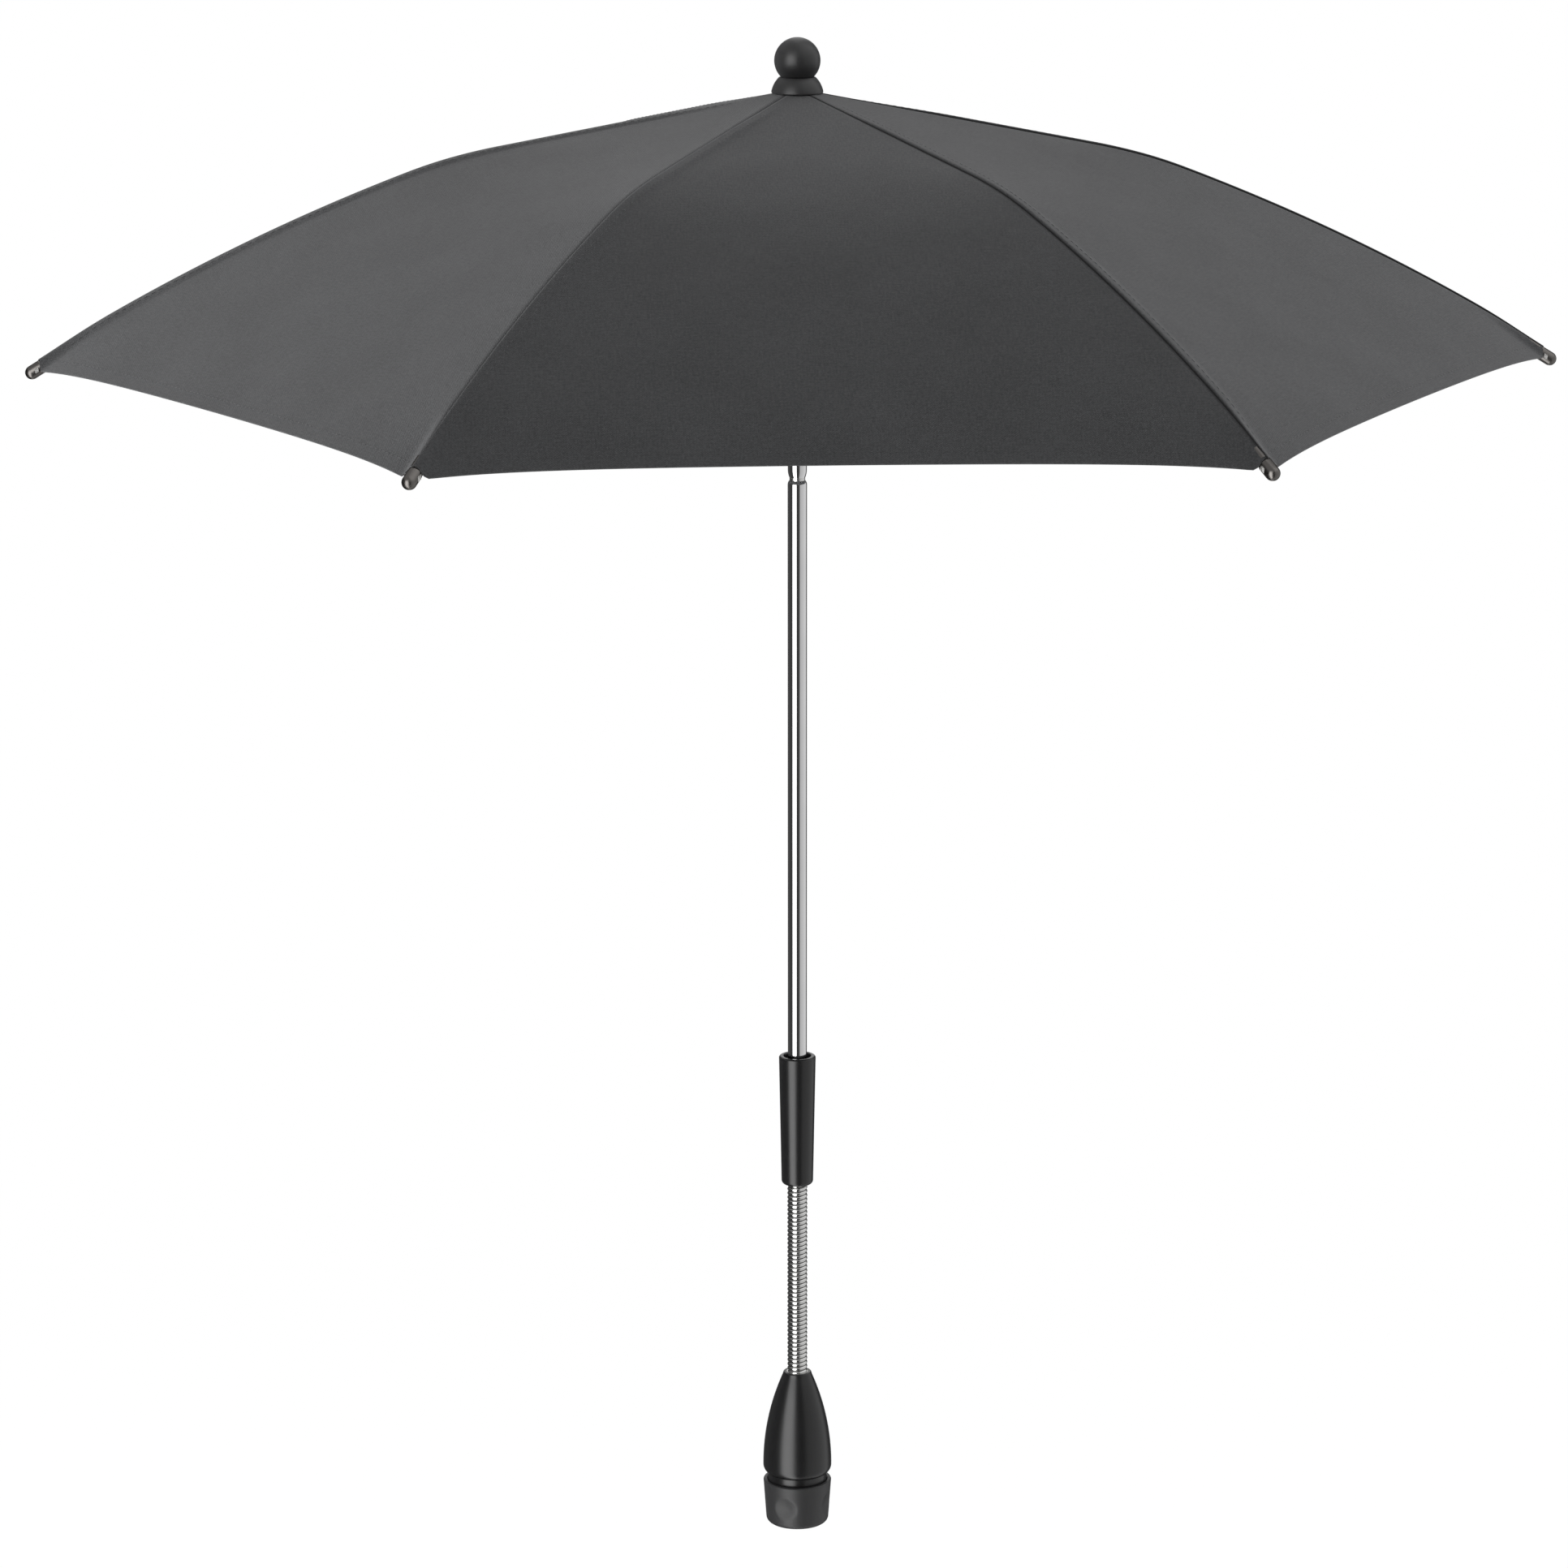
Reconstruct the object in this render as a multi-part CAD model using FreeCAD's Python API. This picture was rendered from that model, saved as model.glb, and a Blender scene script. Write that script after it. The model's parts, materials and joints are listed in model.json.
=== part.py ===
import FreeCAD
import Part
import math
import os

# Pram parasol with a clamp foot, a bendable gooseneck, a two-piece pole and a folding six-rib canopy.
# Millimetres. The origin is the middle of the socket's mouth, under the knob, and +Z runs up the pole.

# Clearances between pieces
RUNNING_CLEARANCE = 0.05
FITTED_CLEARANCE = 0.03
SLIP_CLEARANCE = 0.1
MOVING_GAP = 0.4
CUT_OVERRUN = 1.0

# Clamp knob and the collet in it
SOCKET_DIAMETER = 10.0
SOCKET_DEPTH = 23.0
COLLET_NOSE_WALL = 2.0
COLLET_FLANGE_RADIUS = 9.0
COLLET_FLANGE_HEIGHT = 2.0
COLLET_WAIST_WALL = 2.4
COLLET_TIP_WALL = 1.7
COLLET_TAPER = 7.7
COLLET_SLITS = 3
COLLET_SLIT_WIDTH = 1.2
KNOB_HEIGHT = 20.5
KNOB_TOP_DIAMETER = 30.8
KNOB_BASE_DIAMETER = 27.8
KNOB_BASE_ROUNDING = 2.6
KNOB_RIM_ROUNDING = 0.7
KNOB_FLOOR = 3.5
KNOB_LIFT = 2.0
DIMPLE_COUNT = 4
DIMPLE_FIRST_ANGLE = -112.0
DIMPLE_BALL_RADIUS = 9.0
DIMPLE_DEPTH = 1.1
DIMPLE_HEIGHT = 10.0
SNAP_RING_THICKNESS = 1.0
SNAP_RING_WIDTH = 3.2
SNAP_RING_GROOVE = 0.5
SNAP_RING_GAP_ANGLE = 30.0

# Foot housing
HOUSING_GAP = 3.5
HOUSING_HEIGHT = 47.5
HOUSING_PROUD = 0.1
HOUSING_TOP_DIAMETER = 12.4
HOUSING_COLLAR_DIAMETER = 26.7
HOUSING_BELLY_HEIGHT = 5.0
NECK_THREAD_WALL = 1.9
FERRULE_DIAMETER = 10.0
FERRULE_DEPTH = 22.0

# Gooseneck
NECK_DIAMETER = 9.0
NECK_VALLEY_DEPTH = 0.55
NECK_RIB_PITCH = 1.965
NECK_RIB_FLANK = 0.25
RIBS_PER_LINK = 5
LINK_COUNT = 9
LINK_BORE_DIAMETER = 5.2
LINK_BEND = 18.0
CORE_DIAMETER = 4.6
CORE_END = 6.0

# Grip sleeve and pole
SLEEVE_LENGTH = 59.6
SLEEVE_TOP_DIAMETER = 16.4
SLEEVE_BASE_DIAMETER = 14.1
SLEEVE_MOUTH_DIAMETER = 11.9
SLEEVE_MOUTH_DEPTH = 14.0
SLEEVE_BASE_ROUNDING = 2.0
SLEEVE_RIM_ROUNDING = 0.8
UPPER_FERRULE_BASE = 12.0
UPPER_FERRULE_SPIGOT = 24.0
POLE_DIAMETER = 8.5
POLE_WALL = 0.8
POLE_SHOWING = 259.5
ROLLED_EDGE = 0.1
NECK_GROOVE_HEIGHT = 1.4
POLE_END_ROUNDING = 2.0
SHAFT_END_ROUNDING = 3.2
SPIGOT_HALF_LENGTH = 28.0
SHAFT_LENGTH = 166.0

# Crown and finial
HUB_DIAMETER = 25.2
HUB_DEPTH = 10.0
HINGE_RADIUS = 9.5
HINGE_BELOW_TOP = 4.8
HUB_CEILING = 6.0
CROWN_WIRE_DIAMETER = 1.2
SLOT_WIDTH = 3.2
STUD_DIAMETER = 5.0
STUD_PLUG_LENGTH = 18.0
STUD_IN_BALL = 5.0
COLLAR_DIAMETER = 22.2
COLLAR_HEIGHT = 6.9
COLLAR_LIP = 1.0
COLLAR_FULLNESS = 0.5
FINIAL_WAIST_DIAMETER = 15.6
BALL_DIAMETER = 19.8
BALL_RISE = 7.0

# Canopy: line of the cloth along a rib, and the gores between the ribs
RIB_COUNT = 6
FIRST_RIB_ANGLE = 3.5
CLOTH_THICKNESS = 0.6
CLOTH_INNER_RADIUS = 8.0
CLOTH_CORNER_RADIUS = 324.0
JOINT_RADIUS = 148.0
INNER_SLOPE = 10.76
OUTER_START_SLOPE = 19.5
OUTER_END_SLOPE = 31.5
SEAM_GAP = 0.15
GORE_SAG = 1.5
HEM_INSET = 6.0
OUTER_SECTIONS = 5

# Ribs, clips, tips and stretchers
RIB_DIAMETER = 2.6
KNEE_SWELL = 0.02
RIB_UNDER_CLOTH = 3.3
RIB_TIP_UNDER_CLOTH = 4.6
EYE_RADIUS = 2.2
EYE_WIDTH = 2.2
TIP_DIAMETER = 6.0
TIP_SOCKET_DEPTH = 8.0
TIP_LENGTH = 16.0
CLIP_LENGTH = 12.0
CLIP_SADDLE_WALL = 0.75
CLIP_EAR_THICKNESS = 0.8
CLIP_EAR_LENGTH = 6.0
CLIP_PIVOT_INSET = 5.0
CLIP_PIVOT_DROP = 4.5
RIVET_DIAMETER = 1.5
STRETCHER_WIDTH = 2.2
STRETCHER_DEPTH = 3.6
STRETCHER_END_RADIUS = 2.0
STRETCHER_PIN_DIAMETER = 1.4
STRETCHER_PIN_LENGTH = 5.6
CLOSED_ANGLE = 9.0

# Runner and its catch
RUNNER_FLANGE_DIAMETER = 26.0
RUNNER_FLANGE_ABOVE = 3.0
RUNNER_FLANGE_BELOW = 3.5
RUNNER_SLEEVE_WALL = 2.2
RUNNER_LENGTH = 55.0
RUNNER_GRIP_DIAMETER = 18.0
RUNNER_GRIP_LENGTH = 8.0
RUNNER_GRIP_ROUNDING = 1.5
CATCH_ANGLE = -90.0
CATCH_WIDTH = 2.4
CATCH_THICKNESS = 0.6
CATCH_NOSE_LENGTH = 7.0
CATCH_NOSE_FLAT = 1.5
CATCH_PROUD = 1.65
CATCH_BEND_GAP = 0.3

ORIGIN = FreeCAD.Vector(0, 0, 0)
UP = FreeCAD.Vector(0, 0, 1)
TANGENT = FreeCAD.Vector(0, 1, 0)

# Heights, stacked from the socket's mouth upwards
housing_base = KNOB_HEIGHT + HOUSING_GAP
housing_top = housing_base + HOUSING_HEIGHT
link_length = RIBS_PER_LINK * NECK_RIB_PITCH
neck_top = housing_top + LINK_COUNT * link_length
tube_base = neck_top + UPPER_FERRULE_BASE
sleeve_top = neck_top + SLEEVE_LENGTH
pole_top = sleeve_top + POLE_SHOWING
shaft_base = pole_top + NECK_GROOVE_HEIGHT
cloth_top = shaft_base + SHAFT_LENGTH
hinge_height = cloth_top - HINGE_BELOW_TOP

# Radii that several pieces share
pole_radius = POLE_DIAMETER / 2
pole_bore_radius = pole_radius - POLE_WALL
socket_radius = SOCKET_DIAMETER / 2
rib_radius = RIB_DIAMETER / 2
collar_radius = COLLAR_DIAMETER / 2
ferrule_radius = FERRULE_DIAMETER / 2
stud_radius = STUD_DIAMETER / 2


def on_section(radius, height):
    """Point of a section in the XZ plane."""
    return FreeCAD.Vector(radius, 0, height)


def section_wire(outline):
    """Closed wire in the XZ plane through (radius, height) points; ("arc", middle, end) bends a step."""
    edges = []
    here = on_section(*outline[0])
    for step in outline[1:] + outline[:1]:
        if step[0] == "arc":
            middle, end = on_section(*step[1]), on_section(*step[2])
            edges.append(Part.Arc(here, middle, end).toShape())
        else:
            end = on_section(*step)
            edges.append(Part.makeLine(here, end))
        here = end
    return Part.Wire(edges)


def turned(outline):
    """Solid of revolution about the pole's axis."""
    return Part.Face(section_wire(outline)).revolve(ORIGIN, UP, 360)


def extruded(outline, width):
    """Plate of an XZ outline, centred across the tangent."""
    plate = Part.Face(section_wire(outline)).extrude(TANGENT * width)
    plate.translate(TANGENT * (-width / 2))
    return plate


def eased_in(side_radius, side_height, end_radius, end_height):
    """Middle of the arc that leaves an upright side smoothly and draws in to the end."""
    run, inset = end_height - side_height, side_radius - end_radius
    arc = (run ** 2 + inset ** 2) / (2 * inset)
    half_turn = math.asin(abs(run) / arc) / 2
    return (side_radius - arc * (1 - math.cos(half_turn)),
            side_height + math.copysign(arc * math.sin(half_turn), run))


def rounded_corner(corner, before, after, radius):
    """Arc step that rounds a right-angled corner, with unit steps that lead into and out of it."""
    start = (corner[0] - before[0] * radius, corner[1] - before[1] * radius)
    end = (corner[0] + after[0] * radius, corner[1] + after[1] * radius)
    centre = (start[0] + after[0] * radius, start[1] + after[1] * radius)
    away = (before[0] - after[0], before[1] - after[1])
    middle = (centre[0] + away[0] * radius / math.sqrt(2), centre[1] + away[1] * radius / math.sqrt(2))
    return [start, ("arc", middle, end)]


def cross_pin(radius, width, centre):
    """Cylinder along the tangent, centred on a point of the XZ plane."""
    base = on_section(*centre) - TANGENT * (width / 2)
    return Part.makeCylinder(radius, width, base, TANGENT)


def bar_between(start, end, depth, width):
    """Flat bar between two points of the XZ plane."""
    length = math.dist(start, end)
    bar = Part.makeBox(length, width, depth, FreeCAD.Vector(0, -width / 2, -depth / 2))
    bar.rotate(ORIGIN, TANGENT, -math.degrees(math.atan2(end[1] - start[1], end[0] - start[0])))
    bar.translate(on_section(*start))
    return bar


def stepped(point, direction, distance):
    """Point of the XZ plane a distance away along a unit direction."""
    return (point[0] + direction[0] * distance, point[1] + direction[1] * distance)


def turned_to(shape, angle):
    """Copy of a shape turned about the pole's axis."""
    copy = shape.copy()
    copy.rotate(ORIGIN, UP, angle)
    return copy


def around(shape, angles):
    """One compound of copies turned about the pole's axis."""
    return Part.Compound([turned_to(shape, angle) for angle in angles])


rib_angles = [FIRST_RIB_ANGLE + 360 / RIB_COUNT * index for index in range(RIB_COUNT)]
parts = {}

# Socket collet: a nose flush with the knob, a flange that the knob carries and a slit taper
nose_radius = socket_radius + COLLET_NOSE_WALL
flange_base = KNOB_FLOOR + SLIP_CLEARANCE
flange_top = flange_base + COLLET_FLANGE_HEIGHT
ring_base = flange_top + SLIP_CLEARANCE
ring_top = ring_base + SNAP_RING_THICKNESS
neck_base = ring_top + KNOB_LIFT + MOVING_GAP
waist_radius = socket_radius + COLLET_WAIST_WALL
tip_radius = socket_radius + COLLET_TIP_WALL
taper_rise = math.tan(math.radians(COLLET_TAPER))
taper_base_radius = tip_radius + taper_rise * (SOCKET_DEPTH - neck_base)
collet = turned([
    (socket_radius, 0), (nose_radius, 0), (nose_radius, flange_base), (COLLET_FLANGE_RADIUS, flange_base),
    (COLLET_FLANGE_RADIUS, flange_top), (waist_radius, flange_top), (waist_radius, neck_base),
    (taper_base_radius, neck_base), (tip_radius, SOCKET_DEPTH), (socket_radius, SOCKET_DEPTH)])
slit_base = neck_base + COLLET_SLIT_WIDTH
slit = Part.makeBox(2 * taper_base_radius, COLLET_SLIT_WIDTH, SOCKET_DEPTH - slit_base + CUT_OVERRUN,
                    FreeCAD.Vector(0, -COLLET_SLIT_WIDTH / 2, slit_base))
slit_angles = [360 / COLLET_SLITS * index for index in range(COLLET_SLITS)]
parts["socket_collet"] = collet.cut(around(slit, slit_angles))

# Foot housing: bullet shell, visible collar, screwed neck and the collet's taper seat
seat_gap = KNOB_LIFT * taper_rise + SLIP_CLEARANCE
seat_radius = taper_base_radius + seat_gap
thread_radius = seat_radius + NECK_THREAD_WALL
collar_base = KNOB_HEIGHT - SNAP_RING_THICKNESS
collar_half = HOUSING_COLLAR_DIAMETER / 2
belly = ((KNOB_TOP_DIAMETER + HOUSING_PROUD) / 2, housing_base + HOUSING_BELLY_HEIGHT)
crest = (HOUSING_TOP_DIAMETER / 2, housing_top)
flank = eased_in(*belly, *crest)
brow = eased_in(*belly, collar_half, housing_base)
seat_top = SOCKET_DEPTH + KNOB_LIFT + MOVING_GAP
seat_top_radius = seat_radius - taper_rise * (seat_top - neck_base)
ferrule_base = housing_top - FERRULE_DEPTH
parts["foot_housing"] = turned([
    (0, seat_top), (seat_top_radius, seat_top), (seat_radius, neck_base), (thread_radius, neck_base),
    (thread_radius, collar_base), (collar_half, collar_base), (collar_half, housing_base),
    ("arc", brow, belly), ("arc", flank, crest), (ferrule_radius, housing_top),
    (ferrule_radius, ferrule_base), (0, ferrule_base)])

# Clamp knob: screwed bore, wider mouth over the housing's collar, and scooped finger dimples
knob_bore = thread_radius + RUNNING_CLEARANCE
mouth_radius = collar_half + SLIP_CLEARANCE
mouth_base = collar_base - KNOB_LIFT - SLIP_CLEARANCE
groove_radius = knob_bore + SNAP_RING_GROOVE
knob_rim = KNOB_TOP_DIAMETER / 2
knob_foot = KNOB_BASE_DIAMETER / 2
parts["clamp_knob"] = turned(
    [(nose_radius + RUNNING_CLEARANCE, 0)]
    + rounded_corner((knob_foot, 0), (1, 0), (0, 1), KNOB_BASE_ROUNDING)
    + [(knob_rim, KNOB_HEIGHT - KNOB_RIM_ROUNDING),
       (knob_rim - KNOB_RIM_ROUNDING, KNOB_HEIGHT), (mouth_radius, KNOB_HEIGHT), (mouth_radius, mouth_base),
       (knob_bore, mouth_base), (knob_bore, ring_top + SLIP_CLEARANCE / 2),
       (groove_radius, ring_top + SLIP_CLEARANCE / 2), (groove_radius, ring_base - SLIP_CLEARANCE / 2),
       (knob_bore, ring_base - SLIP_CLEARANCE / 2), (knob_bore, KNOB_FLOOR),
       (nose_radius + RUNNING_CLEARANCE, KNOB_FLOOR)])
knob_slope = (knob_rim - knob_foot) / KNOB_HEIGHT
dimple_reach = knob_foot + knob_slope * DIMPLE_HEIGHT + DIMPLE_BALL_RADIUS - DIMPLE_DEPTH
dimple = Part.makeSphere(DIMPLE_BALL_RADIUS, on_section(dimple_reach, DIMPLE_HEIGHT))
dimple_angles = [DIMPLE_FIRST_ANGLE + 360 / DIMPLE_COUNT * index for index in range(DIMPLE_COUNT)]
parts["clamp_knob"] = parts["clamp_knob"].cut(around(dimple, dimple_angles))

# Snap ring: an open ring in the knob's groove, above the collet's flange
ring_radius = groove_radius - SLIP_CLEARANCE
ring_section = section_wire([
    (ring_radius - SNAP_RING_WIDTH, ring_base), (ring_radius, ring_base),
    (ring_radius, ring_top), (ring_radius - SNAP_RING_WIDTH, ring_top)])
parts["knob_snap_ring"] = Part.Face(ring_section).revolve(ORIGIN, UP, 360 - SNAP_RING_GAP_ANGLE)

# Lower ferrule: turned sleeve in the housing's top, round the end of the core
core_radius = CORE_DIAMETER / 2
core_bore = core_radius + RUNNING_CLEARANCE
core_base = housing_top - CORE_END
core_top = neck_top + CORE_END
ferrule_fit = ferrule_radius - FITTED_CLEARANCE
parts["lower_ferrule"] = turned([
    (0, ferrule_base), (ferrule_fit, ferrule_base), (ferrule_fit, housing_top), (core_bore, housing_top),
    (core_bore, core_base), (0, core_base)])
parts["gooseneck_core"] = Part.makeCylinder(core_radius, core_top - core_base, on_section(0, core_base))

# Gooseneck links: ribbed lengths whose coned ends leave room to bend against each other
neck_radius = NECK_DIAMETER / 2
valley_radius = neck_radius - NECK_VALLEY_DEPTH
rib_steps = [(0, valley_radius), (NECK_RIB_FLANK, neck_radius),
             (1 - NECK_RIB_FLANK, neck_radius), (1, valley_radius)]
bend_rise = math.tan(math.radians(LINK_BEND / 2))
link_bore = LINK_BORE_DIAMETER / 2


def link_end(height, side):
    """Coned room at one end of a link, pointing along side."""
    reach = neck_radius + CUT_OVERRUN
    outside = height - side * CUT_OVERRUN
    return turned([
        (0, outside), (0, height + side * SLIP_CLEARANCE),
        (reach, height + side * (SLIP_CLEARANCE + reach * bend_rise)), (reach, outside)])


for index in range(LINK_COUNT):
    base = housing_top + index * link_length
    circles = []
    for rib in range(RIBS_PER_LINK):
        for share, radius in rib_steps[0 if rib == 0 else 1:]:
            circle = Part.Circle(on_section(0, base + (rib + share) * NECK_RIB_PITCH), UP, radius)
            circles.append(Part.Wire(circle.toShape()))
    link = Part.makeLoft(circles, True, True)
    link = link.cut(Part.makeCylinder(link_bore, link_length, on_section(0, base)))
    if index > 0:
        link = link.cut(link_end(base, 1))
    if index < LINK_COUNT - 1:
        link = link.cut(link_end(base + link_length, -1))
    parts[f"gooseneck_link_{index + 1}"] = link

# Upper ferrule: stands on the last link and plugs into the pole's tube
spigot_radius = pole_bore_radius - FITTED_CLEARANCE
parts["upper_ferrule"] = turned([
    (core_bore, neck_top), (ferrule_fit, neck_top), (ferrule_fit, tube_base), (spigot_radius, tube_base),
    (spigot_radius, tube_base + UPPER_FERRULE_SPIGOT), (0, tube_base + UPPER_FERRULE_SPIGOT),
    (0, core_top), (core_bore, core_top)])

# Grip sleeve: tapered, wider at its mouth than the tube that stands in it
sleeve_foot = SLEEVE_BASE_DIAMETER / 2
sleeve_rim = SLEEVE_TOP_DIAMETER / 2
sleeve_mouth = SLEEVE_MOUTH_DIAMETER / 2
tube_hole = pole_radius + FITTED_CLEARANCE
mouth_floor = sleeve_top - SLEEVE_MOUTH_DEPTH
parts["grip_sleeve"] = turned(
    [(ferrule_radius, neck_top)]
    + rounded_corner((sleeve_foot, neck_top), (1, 0), (0, 1), SLEEVE_BASE_ROUNDING)
    + rounded_corner((sleeve_rim, sleeve_top), (0, 1), (-1, 0), SLEEVE_RIM_ROUNDING)
    + [(sleeve_mouth, sleeve_top), (sleeve_mouth, mouth_floor), (tube_hole, mouth_floor),
       (tube_hole, tube_base), (ferrule_radius, tube_base)])

# Pole tube and canopy shaft: chrome tubes with ends rolled in to the spigot at the groove
groove_edge = pole_bore_radius + ROLLED_EDGE
pole_shoulder = eased_in(pole_radius, pole_top - POLE_END_ROUNDING, groove_edge, pole_top)
parts["pole_tube"] = turned([
    (pole_bore_radius, tube_base), (pole_radius, tube_base), (pole_radius, pole_top - POLE_END_ROUNDING),
    ("arc", pole_shoulder, (groove_edge, pole_top)), (pole_bore_radius, pole_top)])
shaft_top = cloth_top - HUB_CEILING
shaft_shoulder = eased_in(pole_radius, shaft_base + SHAFT_END_ROUNDING, groove_edge, shaft_base)
shaft = turned([
    (pole_bore_radius, shaft_base), (groove_edge, shaft_base),
    ("arc", shaft_shoulder, (pole_radius, shaft_base + SHAFT_END_ROUNDING)),
    (pole_radius, shaft_top), (pole_bore_radius, shaft_top)])
groove_middle = (pole_top + shaft_base) / 2
spigot_top = groove_middle + SPIGOT_HALF_LENGTH
parts["neck_spigot"] = Part.makeCylinder(
    spigot_radius, 2 * SPIGOT_HALF_LENGTH, on_section(0, groove_middle - SPIGOT_HALF_LENGTH))

# Line of the cloth along a rib: straight to the stretcher joint, then a shallow arc to the corner
joint_height = cloth_top - math.tan(math.radians(INNER_SLOPE)) * (JOINT_RADIUS - collar_radius)
slope_from, slope_to = math.radians(OUTER_START_SLOPE), math.radians(OUTER_END_SLOPE)
arc_radius = (CLOTH_CORNER_RADIUS - JOINT_RADIUS) / (math.sin(slope_to) - math.sin(slope_from))


def cloth_height(radius):
    """Height of the cloth's top over a rib."""
    if radius <= JOINT_RADIUS:
        return joint_height + math.tan(math.radians(INNER_SLOPE)) * (JOINT_RADIUS - radius)
    slope = math.asin(math.sin(slope_from) + (radius - JOINT_RADIUS) / arc_radius)
    return joint_height - arc_radius * (math.cos(slope_from) - math.cos(slope))


# Crown hub: notched wheel on the shaft, with a hexagonal channel for the ribs' wire
hub_radius = HUB_DIAMETER / 2
cloth_rise = math.tan(math.radians(INNER_SLOPE))
facet_drop = cloth_rise * hub_radius * (1 / math.cos(math.pi / RIB_COUNT) - 1)
hub_rim_top = cloth_height(hub_radius) - CLOTH_THICKNESS - facet_drop - SLIP_CLEARANCE
hub_boss_top = hub_rim_top + cloth_rise * (hub_radius - CLOTH_INNER_RADIUS)
hub_base = cloth_top - HUB_DEPTH - HINGE_BELOW_TOP / 2
slot_floor = HINGE_RADIUS - EYE_RADIUS - MOVING_GAP
hub = turned([
    (pole_radius + FITTED_CLEARANCE, hub_base), (hub_radius, hub_base), (hub_radius, hub_rim_top),
    (CLOTH_INNER_RADIUS, hub_boss_top), (stud_radius + FITTED_CLEARANCE, hub_boss_top),
    (stud_radius + FITTED_CLEARANCE, shaft_top), (pole_radius + FITTED_CLEARANCE, shaft_top)])
slot_length = max(HUB_DIAMETER, RUNNER_FLANGE_DIAMETER)


def slot_box(width, inner, outer, base, top):
    """Radial slot in a notched wheel."""
    return Part.makeBox(outer - inner, width, top - base, FreeCAD.Vector(inner, -width / 2, base))


def wire_ring(wire_radius):
    """Wire bent into a polygon whose straight sides cross the slots."""
    corner = HINGE_RADIUS / math.cos(math.pi / RIB_COUNT)
    half_side = HINGE_RADIUS * math.tan(math.pi / RIB_COUNT)
    side = cross_pin(wire_radius, 2 * half_side, (HINGE_RADIUS, hinge_height))
    knuckle = Part.makeSphere(wire_radius, on_section(corner, hinge_height))
    sides = [turned_to(side, angle) for angle in rib_angles]
    knuckles = [turned_to(knuckle, angle + 180 / RIB_COUNT) for angle in rib_angles]
    return sides[0].multiFuse(sides[1:] + knuckles)


hub_slot = slot_box(SLOT_WIDTH, slot_floor, slot_length, hub_base - CUT_OVERRUN, hub_boss_top + CUT_OVERRUN)
wire_radius = CROWN_WIRE_DIAMETER / 2
hub = hub.cut(around(hub_slot, rib_angles))
parts["crown_hub"] = hub.cut(wire_ring(wire_radius + FITTED_CLEARANCE))
parts["crown_wire"] = wire_ring(wire_radius)

# Finial: bell-shaped collar that clamps the cloth, ball on top, and the stud that holds both down
collar_under = cloth_top + SLIP_CLEARANCE
collar_inner = cloth_height(CLOTH_INNER_RADIUS) + SLIP_CLEARANCE
collar_top = cloth_top + COLLAR_HEIGHT
waist = FINIAL_WAIST_DIAMETER / 2
stud_hole = stud_radius + FITTED_CLEARANCE
flank_run = (waist - collar_radius, COLLAR_HEIGHT - COLLAR_LIP)
flank_length = math.hypot(*flank_run)
flank_out = (flank_run[1] / flank_length, -flank_run[0] / flank_length)
flank_middle = ((collar_radius + waist) / 2, cloth_top + (COLLAR_LIP + COLLAR_HEIGHT) / 2)
bell = stepped(flank_middle, flank_out, COLLAR_FULLNESS)
parts["finial_collar"] = turned([
    (stud_hole, collar_inner), (CLOTH_INNER_RADIUS, collar_inner), (collar_radius, collar_under),
    (collar_radius, cloth_top + COLLAR_LIP), ("arc", bell, (waist, collar_top)), (stud_hole, collar_top)])
ball_radius = BALL_DIAMETER / 2
ball_height = collar_top + BALL_RISE
stud_top = collar_top + STUD_IN_BALL
ball_foot = math.sqrt(ball_radius ** 2 - BALL_RISE ** 2)
ball_bore = Part.makeCylinder(stud_hole, STUD_IN_BALL + FITTED_CLEARANCE, on_section(0, collar_top))
parts["finial_ball"] = turned([
    (0, collar_top), (ball_foot, collar_top),
    ("arc", (ball_radius, ball_height), (0, ball_height + ball_radius))]).cut(ball_bore)
parts["crown_stud"] = turned([
    (0, shaft_top - STUD_PLUG_LENGTH), (spigot_radius, shaft_top - STUD_PLUG_LENGTH),
    (spigot_radius, shaft_top), (stud_radius, shaft_top), (stud_radius, stud_top), (0, stud_top)])

# Rib's centre line: from its eye on the crown wire, straight to the joint, then an arc into its tip
eye = (HINGE_RADIUS, hinge_height)
knee = (JOINT_RADIUS, joint_height - RIB_UNDER_CLOTH)
rib_end = (CLOTH_CORNER_RADIUS, cloth_height(CLOTH_CORNER_RADIUS) - RIB_TIP_UNDER_CLOTH)
arch_radius = (JOINT_RADIUS + CLOTH_CORNER_RADIUS) / 2
arch = (arch_radius, cloth_height(arch_radius) - (RIB_UNDER_CLOTH + RIB_TIP_UNDER_CLOTH) / 2)
rib_arc = Part.Arc(on_section(*knee), on_section(*arch), on_section(*rib_end))
rib_length = math.dist(eye, knee)
rib_out = ((knee[0] - eye[0]) / rib_length, (knee[1] - eye[1]) / rib_length)
rib_down = (rib_out[1], -rib_out[0])
tip_end = rib_arc.tangent(rib_arc.LastParameter)[0]
tip_out = (tip_end.x, tip_end.z)

straight = Part.makeCylinder(
    rib_radius, rib_length, on_section(*eye), on_section(*knee) - on_section(*eye))
knee_tangent = rib_arc.tangent(rib_arc.FirstParameter)[0]
rib_circle = Part.Wire(Part.Circle(on_section(*knee), knee_tangent, rib_radius).toShape())
curved = Part.Wire(rib_arc.toShape()).makePipeShell([rib_circle], True, False)
eye_hole = cross_pin(wire_radius + RUNNING_CLEARANCE, 2 * EYE_WIDTH, eye)
knee_ball = Part.makeSphere(rib_radius + KNEE_SWELL, on_section(*knee))
rib = straight.multiFuse([knee_ball, curved, cross_pin(EYE_RADIUS, EYE_WIDTH, eye)]).cut(eye_hole)

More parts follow.
